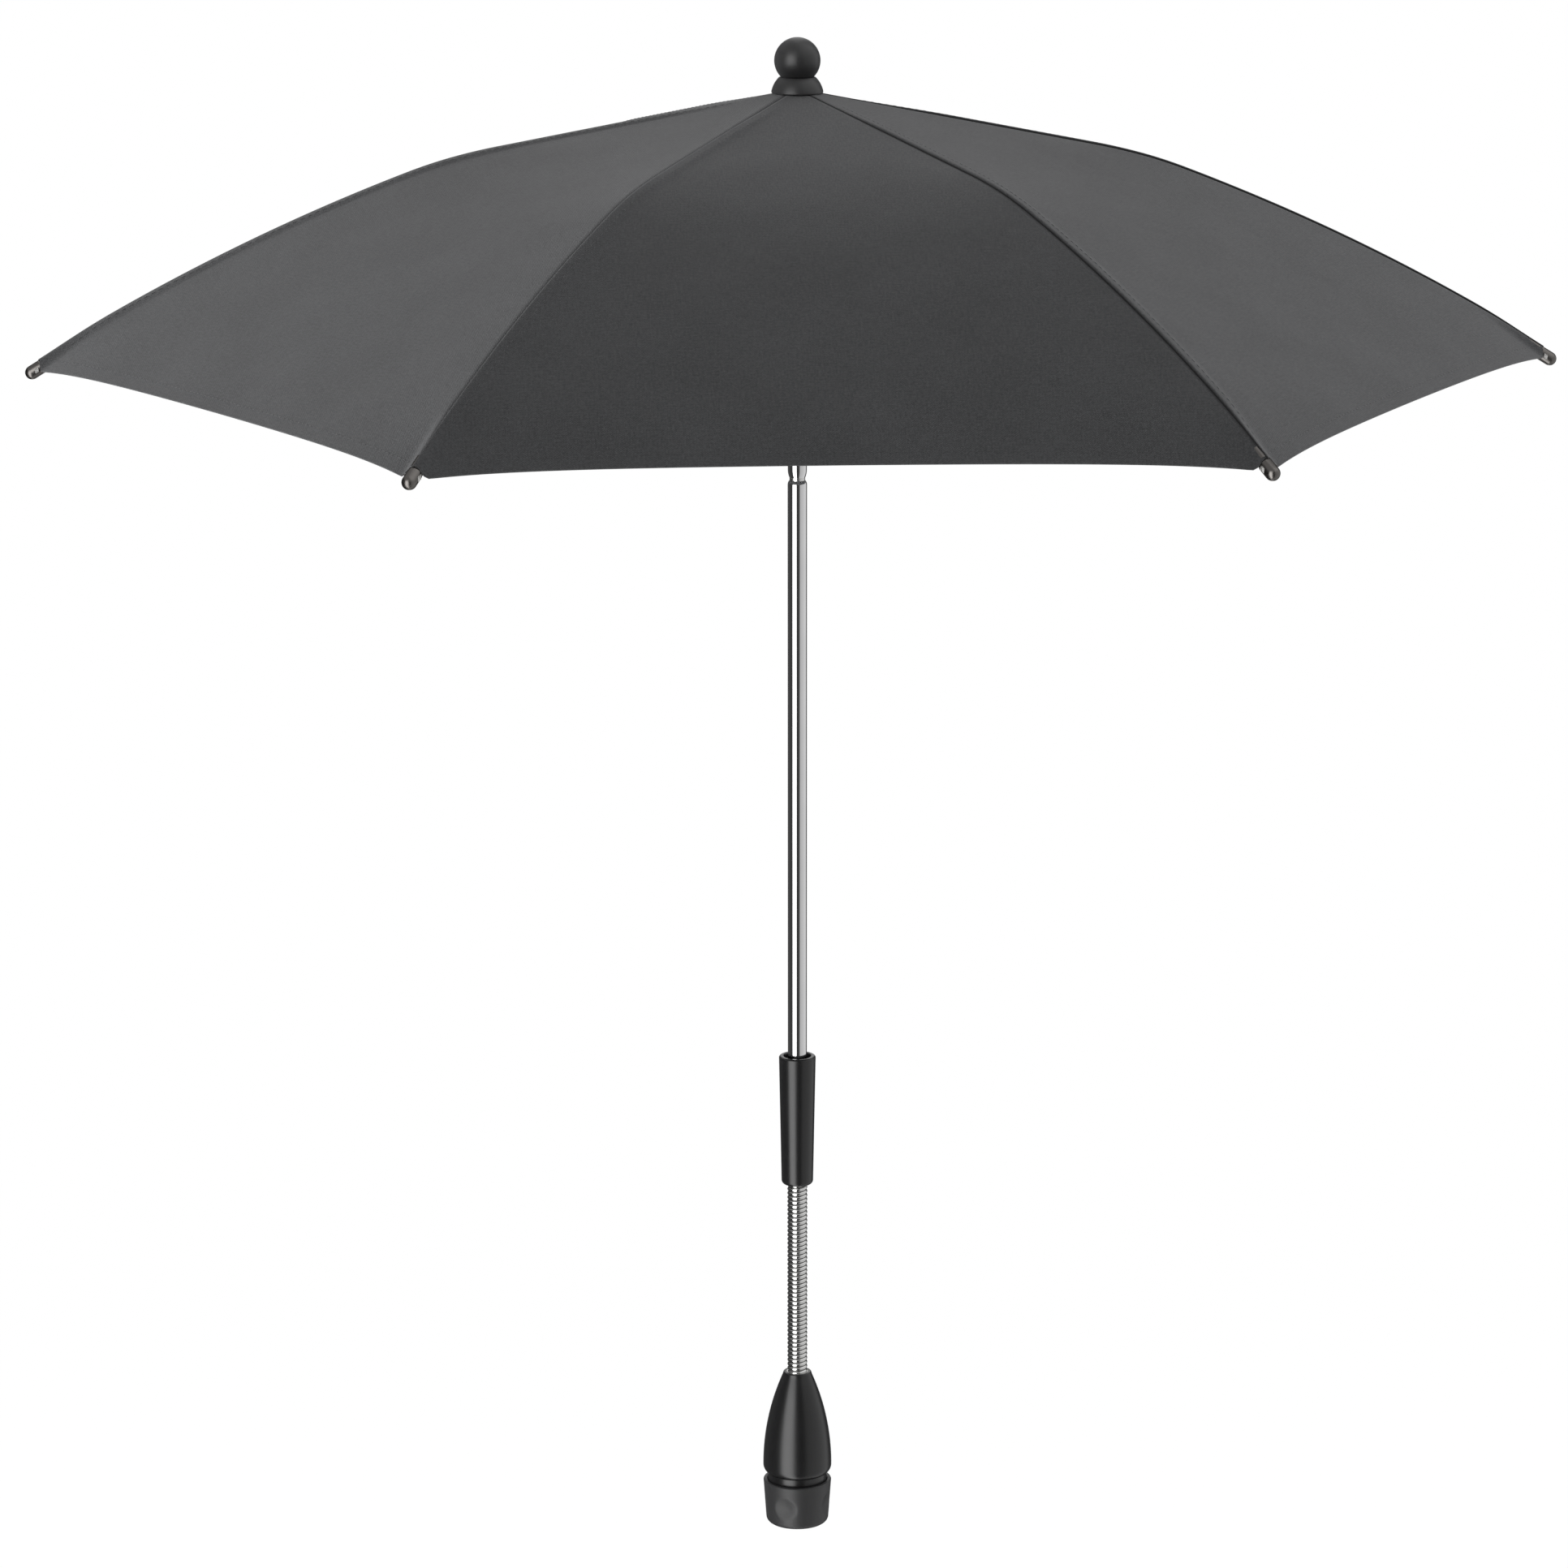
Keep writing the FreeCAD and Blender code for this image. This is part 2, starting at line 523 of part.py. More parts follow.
# Rib tip: round-ended metal cap pushed over the end of the rib
tip_radius_outer = TIP_DIAMETER / 2
tip_start = stepped(rib_end, tip_out, -TIP_SOCKET_DEPTH)
tip_direction = on_section(*tip_out)
tip_ball = stepped(tip_start, tip_out, TIP_LENGTH - tip_radius_outer)
tip = Part.makeCylinder(
    tip_radius_outer, TIP_LENGTH - tip_radius_outer, on_section(*tip_start), tip_direction)
tip = tip.fuse(Part.makeSphere(tip_radius_outer, on_section(*tip_ball)))
tip_bore = Part.makeCylinder(
    rib_radius + SLIP_CLEARANCE, TIP_SOCKET_DEPTH + SLIP_CLEARANCE, on_section(*tip_start), tip_direction)
tip = tip.cut(tip_bore)

# Rib clip: saddle tube on the rib with two ears under it, and the rivet that the stretcher turns on
pivot = stepped(stepped(knee, rib_out, -CLIP_PIVOT_INSET), rib_down, CLIP_PIVOT_DROP)
saddle_radius = rib_radius + FITTED_CLEARANCE + CLIP_SADDLE_WALL
saddle_start = stepped(knee, rib_out, -CLIP_LENGTH)
saddle_axis = on_section(*rib_out)
ear_gap = STRETCHER_WIDTH + 2 * SLIP_CLEARANCE
clip_width = ear_gap + 2 * CLIP_EAR_THICKNESS
ear_depth = CLIP_PIVOT_DROP + STRETCHER_END_RADIUS
ear_end = stepped(pivot, rib_down, STRETCHER_END_RADIUS)
ears = bar_between(stepped(ear_end, rib_down, -ear_depth), ear_end, CLIP_EAR_LENGTH, clip_width)
ear_room = bar_between(stepped(pivot, rib_down, -STRETCHER_END_RADIUS - SLIP_CLEARANCE),
                       stepped(ear_end, rib_down, CUT_OVERRUN), 2 * CLIP_EAR_LENGTH, ear_gap)
saddle = Part.makeCylinder(saddle_radius, CLIP_LENGTH, on_section(*saddle_start), saddle_axis)
saddle_bore = Part.makeCylinder(
    rib_radius + FITTED_CLEARANCE, 3 * CLIP_LENGTH,
    on_section(*stepped(saddle_start, rib_out, -CLIP_LENGTH)), saddle_axis)
rivet_radius = RIVET_DIAMETER / 2
rivet_hole = cross_pin(rivet_radius + FITTED_CLEARANCE, 2 * clip_width, pivot)
clip = saddle.fuse(ears.cut(ear_room)).cut(saddle_bore).cut(rivet_hole)
rivet = cross_pin(rivet_radius, clip_width, pivot)
clip_with_rivet = Part.Compound([clip, rivet])

# Stretcher: flat bar from the clip's rivet to a cross pin that hangs in the runner's slot
drop = eye[1] - pivot[1]
runner_pivot = (HINGE_RADIUS, eye[1] - 2 * drop)
stretcher = bar_between(pivot, runner_pivot, STRETCHER_DEPTH, STRETCHER_WIDTH)
stretcher_pin = cross_pin(STRETCHER_PIN_DIAMETER / 2, STRETCHER_PIN_LENGTH, runner_pivot)
stretcher = stretcher.multiFuse([
    cross_pin(STRETCHER_END_RADIUS, STRETCHER_WIDTH, pivot),
    cross_pin(STRETCHER_END_RADIUS, STRETCHER_WIDTH, runner_pivot), stretcher_pin])
stretcher = stretcher.cut(cross_pin(rivet_radius + RUNNING_CLEARANCE, 2 * STRETCHER_WIDTH, pivot))

# Canopy gore: one cut triangle of cloth between two ribs, hollowed a little, with a drawn-in hem
half_gore = math.pi / RIB_COUNT
outer_step = (CLOTH_CORNER_RADIUS - JOINT_RADIUS) / OUTER_SECTIONS
outer_radii = [JOINT_RADIUS + outer_step * index for index in range(OUTER_SECTIONS + 1)]
gore_radii = [CLOTH_INNER_RADIUS, *outer_radii]


def gore_points(radius):
    """Left edge, middle and right edge of a gore's top at one radius along its ribs."""
    past_joint = max(0.0, (radius - JOINT_RADIUS) / (CLOTH_CORNER_RADIUS - JOINT_RADIUS))
    edge_x = radius * math.cos(half_gore) + SEAM_GAP * math.sin(half_gore)
    edge_y = radius * math.sin(half_gore) - SEAM_GAP * math.cos(half_gore)
    height = cloth_height(radius)
    sag = GORE_SAG * radius / CLOTH_CORNER_RADIUS
    return (FreeCAD.Vector(edge_x, edge_y, height),
            FreeCAD.Vector(edge_x - HEM_INSET * past_joint ** 2, 0, height - sag),
            FreeCAD.Vector(edge_x, -edge_y, height))


gore_rows = [gore_points(radius) for radius in gore_radii]
gore_arcs = [Part.Arc(*row).toShape() for row in gore_rows]
gore_top = Part.makeLoft([Part.Wire(arc) for arc in gore_arcs], False, True)
gore_sides = [Part.makeLine(near[side], far[side])
              for near, far in zip(gore_rows, gore_rows[1:]) for side in (0, 2)]
under = UP * -CLOTH_THICKNESS
gore_faces = list(gore_top.Faces) + [face.translated(under) for face in gore_top.Faces]
gore_faces += [edge.extrude(under) for edge in gore_sides + [gore_arcs[0], gore_arcs[-1]]]
gore_shell = Part.makeShell(gore_faces)
gore_shell.sewShape()
gore = Part.makeSolid(gore_shell)

for index, angle in enumerate(rib_angles, 1):
    parts[f"rib_{index}"] = turned_to(rib, angle)
    parts[f"rib_tip_{index}"] = turned_to(tip, angle)
    parts[f"rib_clip_{index}"] = turned_to(clip_with_rivet, angle)
    parts[f"stretcher_{index}"] = turned_to(stretcher, angle)
    parts[f"canopy_gore_{index}"] = turned_to(gore, angle + 180 / RIB_COUNT)

# Runner: slotted flange for the stretchers, slim sleeve on the shaft and a finger grip at its foot
runner_bore = pole_radius + RUNNING_CLEARANCE
sleeve_radius = runner_bore + RUNNER_SLEEVE_WALL
flange_radius = RUNNER_FLANGE_DIAMETER / 2
flange_roof = runner_pivot[1] + RUNNER_FLANGE_ABOVE
flange_floor = runner_pivot[1] - RUNNER_FLANGE_BELOW
runner_base = flange_roof - RUNNER_LENGTH
grip_radius = RUNNER_GRIP_DIAMETER / 2
runner = turned(
    [(runner_bore, runner_base)]
    + rounded_corner((grip_radius, runner_base), (1, 0), (0, 1), RUNNER_GRIP_ROUNDING)
    + rounded_corner((grip_radius, runner_base + RUNNER_GRIP_LENGTH), (0, 1), (-1, 0), RUNNER_GRIP_ROUNDING)
    + [(sleeve_radius, runner_base + RUNNER_GRIP_LENGTH), (sleeve_radius, flange_floor),
       (flange_radius, flange_floor), (flange_radius, flange_roof), (runner_bore, flange_roof)])
slot_base = flange_floor - CUT_OVERRUN
runner_slot = slot_box(SLOT_WIDTH, slot_floor, slot_length, slot_base, flange_roof + CUT_OVERRUN)
pin_room = STRETCHER_PIN_DIAMETER / 2 + MOVING_GAP
pin_slot = slot_box(STRETCHER_PIN_LENGTH + 2 * MOVING_GAP, HINGE_RADIUS - pin_room, HINGE_RADIUS + pin_room,
                    slot_base, runner_pivot[1] + pin_room)
parts["runner"] = runner.cut(around(runner_slot.fuse(pin_slot), rib_angles))

# Runner catch: flat spring standing on the spigot inside the shaft, its nose out through a window
nose_top = runner_base - CATCH_BEND_GAP
nose_base = nose_top - CATCH_NOSE_LENGTH
strip_outer = math.sqrt(pole_bore_radius ** 2 - (CATCH_WIDTH / 2) ** 2) - SLIP_CLEARANCE
strip_inner = strip_outer - CATCH_THICKNESS
nose_reach = pole_radius + CATCH_PROUD
catch = extruded([
    (strip_inner, spigot_top + CATCH_BEND_GAP), (strip_outer, spigot_top + CATCH_BEND_GAP),
    (strip_outer, nose_base), (nose_reach, nose_top - CATCH_NOSE_FLAT), (nose_reach, nose_top),
    (strip_inner, nose_top)], CATCH_WIDTH)
window = Part.makeBox(nose_reach, CATCH_WIDTH + 2 * SLIP_CLEARANCE, CATCH_NOSE_LENGTH + 2 * CATCH_BEND_GAP,
                      FreeCAD.Vector(0, -CATCH_WIDTH / 2 - SLIP_CLEARANCE, nose_base - CATCH_BEND_GAP))
parts["runner_catch"] = turned_to(catch, CATCH_ANGLE)
parts["canopy_shaft"] = shaft.cut(turned_to(window, CATCH_ANGLE))

# Angles and travel of the fold, for the joints
open_angle = math.degrees(math.atan2(pivot[0] - eye[0], drop))
stretcher_length = math.dist(eye, pivot)
runner_travel = 2 * stretcher_length * math.cos(math.radians(CLOSED_ANGLE)) - 2 * drop
print(f"hinge ({eye[0]:.3f}, {eye[1]:.3f}) pivot ({pivot[0]:.3f}, {pivot[1]:.3f})")
print(f"runner pivot height {runner_pivot[1]:.3f} travel {runner_travel:.3f}")
print(f"fold {open_angle - CLOSED_ANGLE:.4f} degrees, top {ball_height + ball_radius:.3f}")
print(f"tip ball ({tip_ball[0]:.3f}, {tip_ball[1]:.3f}), neck from {housing_top:.3f} by {link_length:.4f}")

os.makedirs("parts", exist_ok=True)
for name, shape in parts.items():
    if not shape.isValid():
        print("not valid:", name)
    shape.exportStep(f"parts/{name}.step")
print(len(parts), "nodes")
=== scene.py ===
import json
import math

import bpy
from mathutils import Matrix, Vector

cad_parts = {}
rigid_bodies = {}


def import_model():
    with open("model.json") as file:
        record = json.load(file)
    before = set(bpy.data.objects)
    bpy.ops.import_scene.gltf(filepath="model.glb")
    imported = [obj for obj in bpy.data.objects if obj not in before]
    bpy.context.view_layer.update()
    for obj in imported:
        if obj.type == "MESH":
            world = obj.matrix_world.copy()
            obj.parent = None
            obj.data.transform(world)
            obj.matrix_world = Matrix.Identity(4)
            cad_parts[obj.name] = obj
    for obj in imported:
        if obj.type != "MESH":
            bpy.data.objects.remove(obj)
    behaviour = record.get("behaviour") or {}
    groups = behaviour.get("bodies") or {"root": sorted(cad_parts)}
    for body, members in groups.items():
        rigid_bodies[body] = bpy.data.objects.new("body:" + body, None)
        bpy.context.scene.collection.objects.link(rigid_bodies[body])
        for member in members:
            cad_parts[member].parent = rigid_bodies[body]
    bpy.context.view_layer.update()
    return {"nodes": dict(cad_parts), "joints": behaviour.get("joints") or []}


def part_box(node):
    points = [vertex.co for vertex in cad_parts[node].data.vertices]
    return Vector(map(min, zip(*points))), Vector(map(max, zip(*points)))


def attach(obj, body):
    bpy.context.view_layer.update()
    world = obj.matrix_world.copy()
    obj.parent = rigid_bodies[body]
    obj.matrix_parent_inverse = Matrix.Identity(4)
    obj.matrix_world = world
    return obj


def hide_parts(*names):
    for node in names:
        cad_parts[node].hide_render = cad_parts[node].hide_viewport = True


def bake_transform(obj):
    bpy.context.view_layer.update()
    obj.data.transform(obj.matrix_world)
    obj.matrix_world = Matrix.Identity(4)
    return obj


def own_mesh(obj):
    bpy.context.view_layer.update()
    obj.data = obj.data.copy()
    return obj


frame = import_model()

# Clamp knob. A charcoal moulding of filled nylon with four scooped finger dimples, left matt.
# It screws up onto the foot's neck and squeezes the collet inside it onto the stalk.
KNOB_HEIGHT = 0.0205
KNOB_FOOT_RADIUS = 0.0139
KNOB_RIM_RADIUS = 0.0154
KNOB_FLOOR = 0.0035
KNOB_NOSE_HOLE = 0.00705
KNOB_BORE = 0.0109
KNOB_MOUTH = 0.01345
KNOB_MOUTH_FLOOR = 0.0174
KNOB_FOOT_ROUNDING = 0.0026
KNOB_RIM_ROUNDING = 0.0007
KNOB_MOUTH_ROUNDING = 0.0004
KNOB_WALL_LOW = (KNOB_FOOT_RADIUS + 0.0002, 0.0027)
KNOB_WALL_HIGH = (KNOB_RIM_RADIUS - 0.0001, KNOB_HEIGHT - 0.0009)
KNOB_WALL_STEPS = 28
DIMPLE_ANGLES = [math.radians(-112 + 90 * turn) for turn in range(4)]
DIMPLE_HEIGHT = 0.0100
DIMPLE_REACH = 0.0056
DIMPLE_DEPTH = 0.0013
DIMPLE_SOFTNESS = 1.5
DIMPLE_INNER = KNOB_FOOT_RADIUS - 0.0002
WELD = 1e-6
CHARCOAL = (0.026, 0.026, 0.027)


class Value:
    """One output of a shader node. Sums and products of it add Math nodes."""

    def __init__(self, nodes, socket):
        self.nodes = nodes
        self.socket = socket

    def worked(self, operation, first, second):
        return self.nodes.node("ShaderNodeMath", {"operation": operation}, {0: first, 1: second})

    def __add__(self, other):
        return self.worked("ADD", self, other)

    def __radd__(self, other):
        return self.worked("ADD", other, self)

    def __sub__(self, other):
        return self.worked("SUBTRACT", self, other)

    def __rsub__(self, other):
        return self.worked("SUBTRACT", other, self)

    def __mul__(self, other):
        return self.worked("MULTIPLY", self, other)

    def __rmul__(self, other):
        return self.worked("MULTIPLY", other, self)


class Nodes:
    """The nodes of one material or of the world."""

    def __init__(self, tree):
        self.tree = tree

    def join(self, target, value):
        if isinstance(value, Value):
            self.tree.links.new(value.socket, target)
        else:
            target.default_value = value

    def node(self, kind, settings=None, sockets=None, output=0):
        """Any node: its settings are set first, then its sockets get values or links."""
        made = self.tree.nodes.new(kind)
        for setting, value in (settings or {}).items():
            setattr(made, setting, value)
        for socket, value in (sockets or {}).items():
            self.join(made.inputs[socket], value)
        return Value(self, made.outputs[output])

    def place(self, coordinates="Object"):
        return self.node("ShaderNodeTexCoord", output=coordinates)

    def noise(self, place, scale, detail=2.0):
        return self.node("ShaderNodeTexNoise", {}, {"Vector": place, "Scale": scale, "Detail": detail})

    def stretched(self, place, scale):
        return self.node("ShaderNodeMapping", {}, {"Vector": place, "Scale": scale})

    def sine(self, value):
        return self.node("ShaderNodeMath", {"operation": "SINE"}, {0: value})

    def eased(self, value, low, high):
        """0 below low, 1 above high, smooth between them."""
        return self.node("ShaderNodeMapRange", {"interpolation_type": "SMOOTHSTEP"},
                         {"Value": value, "From Min": low, "From Max": high})

    def mixed(self, share, first, second):
        """Colour between two colours."""
        return self.node("ShaderNodeMix", {"data_type": "RGBA"},
                         {0: share, 6: (*first, 1.0) if isinstance(first, tuple) else first,
                          7: (*second, 1.0) if isinstance(second, tuple) else second}, output=2)

    def bump(self, height, depth, strength=1.0):
        return self.node("ShaderNodeBump", {}, {"Height": height, "Distance": depth, "Strength": strength})


def finish(name, constants):
    """New material whose shader has these constant sockets, and its nodes."""
    material = bpy.data.materials.new(name)
    material.use_nodes = True
    nodes = Nodes(material.node_tree)
    nodes.material = material
    nodes.shader = material.node_tree.nodes["Principled BSDF"].inputs
    for socket, value in constants.items():
        nodes.shader[socket].default_value = value
    return nodes


def shaded(colour, factor):
    """A colour made lighter or darker."""
    return tuple(channel * factor for channel in colour)


def moulded(name, colour, roughness, grain_size, grain_depth):
    """Moulded plastic: a fine eroded grain, soft flow marks and a little handling shine."""
    nodes = finish(name, {"Specular IOR Level": 0.6})
    place = nodes.place()
    grain = nodes.noise(place, 1 / grain_size)
    flow = nodes.noise(nodes.stretched(place, (60.0, 60.0, 18.0)), 1.0, 3.0)
    rubbed = nodes.noise(place, 140.0, 4.0)
    nodes.join(nodes.shader["Base Color"], nodes.mixed(flow, shaded(colour, 0.86), shaded(colour, 1.14)))
    nodes.join(nodes.shader["Roughness"], roughness - 0.07 + 0.08 * rubbed + 0.06 * grain)
    nodes.join(nodes.shader["Normal"], nodes.bump(grain, grain_depth))
    return nodes.material


def rounded(corners, steps=6):
    """Outline through (radius, height) corners, where a third value rounds that corner with an arc."""
    outline = [corners[0][:2]]
    for before, corner, after in zip(corners, corners[1:], corners[2:]):
        here = Vector(corner[:2])
        if len(corner) == 2:
            outline.append(corner)
            continue
        into = (Vector(before[:2]) - here).normalized()
        away = (Vector(after[:2]) - here).normalized()
        half = into.angle(away) / 2
        centre = here + (into + away).normalized() * corner[2] / math.sin(half)
        start = here + into * corner[2] / math.tan(half) - centre
        end = here + away * corner[2] / math.tan(half) - centre
        for step in range(steps + 1):
            spoke = start.lerp(end, step / steps).normalized()
            outline.append(tuple(centre + spoke * corner[2]))
    outline.append(corners[-1][:2])
    return outline


def dressed(piece, body, slot, material, *nodes):
    """A finished piece with its material, its body and the nodes it stands for; slot is not used."""
    piece.data.materials.clear()
    piece.data.materials.append(material)
    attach(piece, body)
    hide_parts(*nodes)
    return piece


def turned(name, outline, steps=96, sharp=30):
    """New piece spun about the pole's axis from an outline of (radius, height) points."""
    bpy.ops.object.select_all(action="DESELECT")
    bpy.ops.mesh.primitive_plane_add(size=KNOB_HEIGHT)
    piece = bpy.context.object
    piece.name = piece.data.name = name
    bpy.ops.object.mode_set(mode="EDIT")
    bpy.ops.mesh.select_all(action="SELECT")
    bpy.ops.mesh.merge(type="CENTER")
    bpy.ops.transform.translate(value=(outline[0][0], 0, outline[0][1]))
    for near, far in zip(outline, outline[1:]):
        step = (far[0] - near[0], 0, far[1] - near[1])
        bpy.ops.mesh.extrude_region_move(TRANSFORM_OT_translate={"value": step})
    bpy.ops.mesh.select_all(action="SELECT")
    bpy.ops.mesh.spin(steps=steps, angle=math.tau, center=(0, 0, 0), axis=(0, 0, 1))
    bpy.ops.mesh.select_all(action="SELECT")
    bpy.ops.mesh.remove_doubles(threshold=WELD)
    bpy.ops.mesh.normals_make_consistent(inside=False)
    bpy.ops.object.mode_set(mode="OBJECT")
    bpy.ops.object.shade_smooth_by_angle(angle=math.radians(sharp))
    return piece


def between(start, end, steps):
    """Points of a straight stretch of outline, without its ends."""
    return [tuple(Vector(start).lerp(Vector(end), step / steps)) for step in range(1, steps)]


knob_wall = between(KNOB_WALL_LOW, KNOB_WALL_HIGH, KNOB_WALL_STEPS)
knob_outline = rounded([
    (KNOB_NOSE_HOLE, 0.0), (KNOB_FOOT_RADIUS, 0.0, KNOB_FOOT_ROUNDING), *knob_wall,
    (KNOB_RIM_RADIUS, KNOB_HEIGHT, KNOB_RIM_ROUNDING), (KNOB_MOUTH, KNOB_HEIGHT, KNOB_MOUTH_ROUNDING),
    (KNOB_MOUTH, KNOB_MOUTH_FLOOR), (KNOB_BORE, KNOB_MOUTH_FLOOR),
    (KNOB_BORE, KNOB_FLOOR), (KNOB_NOSE_HOLE, KNOB_FLOOR), (KNOB_NOSE_HOLE, 0.0)])
knob = turned("clamp_knob_moulding", knob_outline, steps=180)
for vertex in knob.data.vertices:
    if vertex.co.xy.length < DIMPLE_INNER:
        continue
    for angle in DIMPLE_ANGLES:
        aside = (math.atan2(vertex.co.y, vertex.co.x) - angle + math.pi) % math.tau - math.pi
        away = math.hypot(aside * KNOB_FOOT_RADIUS, vertex.co.z - DIMPLE_HEIGHT) / DIMPLE_REACH
        if away < 1:
            scoop = DIMPLE_DEPTH * (1 - away ** 2) ** DIMPLE_SOFTNESS
            vertex.co.xy *= 1 - scoop / vertex.co.xy.length
charcoal = moulded("charcoal_nylon", CHARCOAL, 0.5, 0.00035, 0.00003)
dressed(knob, "knob", "knob_moulding", charcoal, "clamp_knob")

# Socket collet and snap ring. The collet is a slit nylon sleeve that carries the stalk; the ring is
# an open loop of spring steel in the knob's groove, so that the knob pushes the collet up with it.
COLLET_BLACK = (0.018, 0.018, 0.019)
SPRING_STEEL = (0.52, 0.53, 0.54)
FLAT_WITHIN = math.radians(0.5)
BROKEN_OVER = math.radians(40)


def drawn(name, colour, roughness, scratch=(2500.0, 2500.0, 60.0)):
    """Bright metal with fine marks along one way and faint smears."""
    nodes = finish(name, {"Metallic": 1.0})
    place = nodes.place()
    lines = nodes.noise(nodes.stretched(place, scratch), 1.0, 3.0)
    smear = nodes.noise(place, 70.0, 4.0)
    nodes.join(nodes.shader["Base Color"], nodes.mixed(smear, shaded(colour, 0.93), shaded(colour, 1.05)))
    nodes.join(nodes.shader["Roughness"], roughness * (0.7 + 0.6 * smear) + 0.04 * lines)
    nodes.join(nodes.shader["Normal"], nodes.bump(lines, 0.000004))
    return nodes.material


def softened(node, edge, material, slot, body, sharp=30):
    """New piece from a node's solid with its edges broken, as a moulding or a stamping has them."""
    piece = bpy.data.objects.new(node + "_piece", frame["nodes"][node].data.copy())
    bpy.context.scene.collection.objects.link(piece)
    bpy.ops.object.select_all(action="DESELECT")
    piece.select_set(True)
    bpy.context.view_layer.objects.active = piece
    bpy.ops.object.mode_set(mode="EDIT")
    bpy.ops.mesh.select_all(action="SELECT")
    bpy.ops.mesh.remove_doubles(threshold=WELD)
    bpy.ops.mesh.dissolve_limited(angle_limit=FLAT_WITHIN)
    bpy.ops.object.mode_set(mode="OBJECT")
    if edge:
        broken = piece.modifiers.new("Broken edges", "BEVEL")
        broken.width = edge
        broken.segments = 2
        broken.limit_method = "ANGLE"
        broken.angle_limit = BROKEN_OVER
        broken.use_clamp_overlap = True
        bpy.ops.object.modifier_apply(modifier=broken.name)
    bpy.ops.object.shade_smooth_by_angle(angle=math.radians(sharp))
    return dressed(piece, body, slot, material, node)


collet_black = moulded("collet_nylon", COLLET_BLACK, 0.5, 0.0003, 0.00002)
spring_steel = drawn("spring_steel", SPRING_STEEL, 0.3)
softened("socket_collet", 0.0002, collet_black, "collet_moulding", "collet")
softened("knob_snap_ring", 0.0001, spring_steel, "spring_steel", "knob")

# Foot housing. A gloss black bullet moulded in one with its collar and screwed neck. The collar
# shows as a step above the knob, and the gooseneck's ferrule is pressed into the small flat top.
HOUSING_BLACK = (0.011, 0.011, 0.0115)
HOUSING_BASE = 0.024
HOUSING_TOP = 0.0715
HOUSING_BELLY = (0.01545, 0.0274)
HOUSING_CREST = 0.0062
HOUSING_COLLAR = 0.01335
HOUSING_COLLAR_BASE = 0.0195
HOUSING_THREAD = 0.01085
HOUSING_SEAT = (0.00895, 0.0091)
HOUSING_SEAT_TOP = (0.00675, 0.0254)
FERRULE_RADIUS = 0.005
FERRULE_FLOOR = 0.0495
BROW_INSET = 0.0004
BROW_STEPS = 12
CREST_DROP = 0.0005
CREST_ROUNDING = 0.0006
FLANK_STEPS = 40
HOUSING_COLLAR_ROUNDING = 0.0004
FINE_ROUNDING = 0.0003


def eased_arc(side, end, steps):
    """Points of the arc that leaves an upright side smoothly and draws in to its end."""
    run, inset = end[1] - side[1], side[0] - end[0]
    radius = (run ** 2 + inset ** 2) / (2 * inset)
    turn = math.asin(abs(run) / radius)
    turns = [turn * step / steps for step in range(steps + 1)]
    return [(side[0] - radius * (1 - math.cos(angle)),
             side[1] + math.copysign(radius * math.sin(angle), run)) for angle in turns]


brow = eased_arc(HOUSING_BELLY, (HOUSING_COLLAR + BROW_INSET, HOUSING_BASE), BROW_STEPS)[::-1]
flank = eased_arc(HOUSING_BELLY, (HOUSING_CREST, HOUSING_TOP - CREST_DROP), FLANK_STEPS)[1:]
housing_outline = rounded([
    (0.0, HOUSING_SEAT_TOP[1]), HOUSING_SEAT_TOP, HOUSING_SEAT, (HOUSING_THREAD, HOUSING_SEAT[1]),
    (HOUSING_THREAD, HOUSING_COLLAR_BASE), (HOUSING_COLLAR, HOUSING_COLLAR_BASE, HOUSING_COLLAR_ROUNDING),
    (HOUSING_COLLAR, HOUSING_BASE, FINE_ROUNDING), *brow, *flank[:-1],
    (HOUSING_CREST, HOUSING_TOP, CREST_ROUNDING), (FERRULE_RADIUS, HOUSING_TOP, FINE_ROUNDING),
    (FERRULE_RADIUS, FERRULE_FLOOR), (0.0, FERRULE_FLOOR)])
gloss_black = moulded("gloss_black_moulding", HOUSING_BLACK, 0.3, 0.0005, 0.000012)
housing = turned("foot_housing_moulding", housing_outline, steps=128)
dressed(housing, "foot", "black_moulding", gloss_black, "foot_housing")

# Ferrules. Two plain turned steel sleeves: the lower one stands in the housing, the upper one plugs
# the pole's tube into the gooseneck's last turns. Only a thin ring of each can be seen.
FERRULE_STEEL = (0.56, 0.56, 0.55)
ferrule_steel = drawn("ferrule_steel", FERRULE_STEEL, 0.32, (60.0, 60.0, 3000.0))
softened("lower_ferrule", 0.0001, ferrule_steel, "ferrule_steel", "foot")
softened("upper_ferrule", 0.0001, ferrule_steel, "ferrule_steel", "pole")

# Gooseneck. Round bright wire wound tight into a hose that stays where it is bent, on a hidden core.
# It is one winding from foot to sleeve, cut here into short runs that each lie over one of its bends.
NECK_STEEL = (0.74, 0.74, 0.73)
NECK_RIDGE = 0.0045
NECK_VALLEY = 0.00385
NECK_WALL = 0.0006
NECK_WELD = 2e-6
RIDGE_STEPS = 10
RIDGE_FULLNESS = 0.7
TURNS_PER_RUN = 5
FOOT_TURNS = 3
HEAD_TURNS = 4
SOFT_EDGE = math.radians(50)
neck_joints = sorted((joint["pos_m"][2], joint["parent"], joint["child"])
                     for joint in frame["joints"] if joint["name"].startswith("neck_bend"))
neck_run = neck_joints[1][0] - neck_joints[0][0]
turn_pitch = neck_run / TURNS_PER_RUN
neck_base = neck_joints[0][0] - neck_run


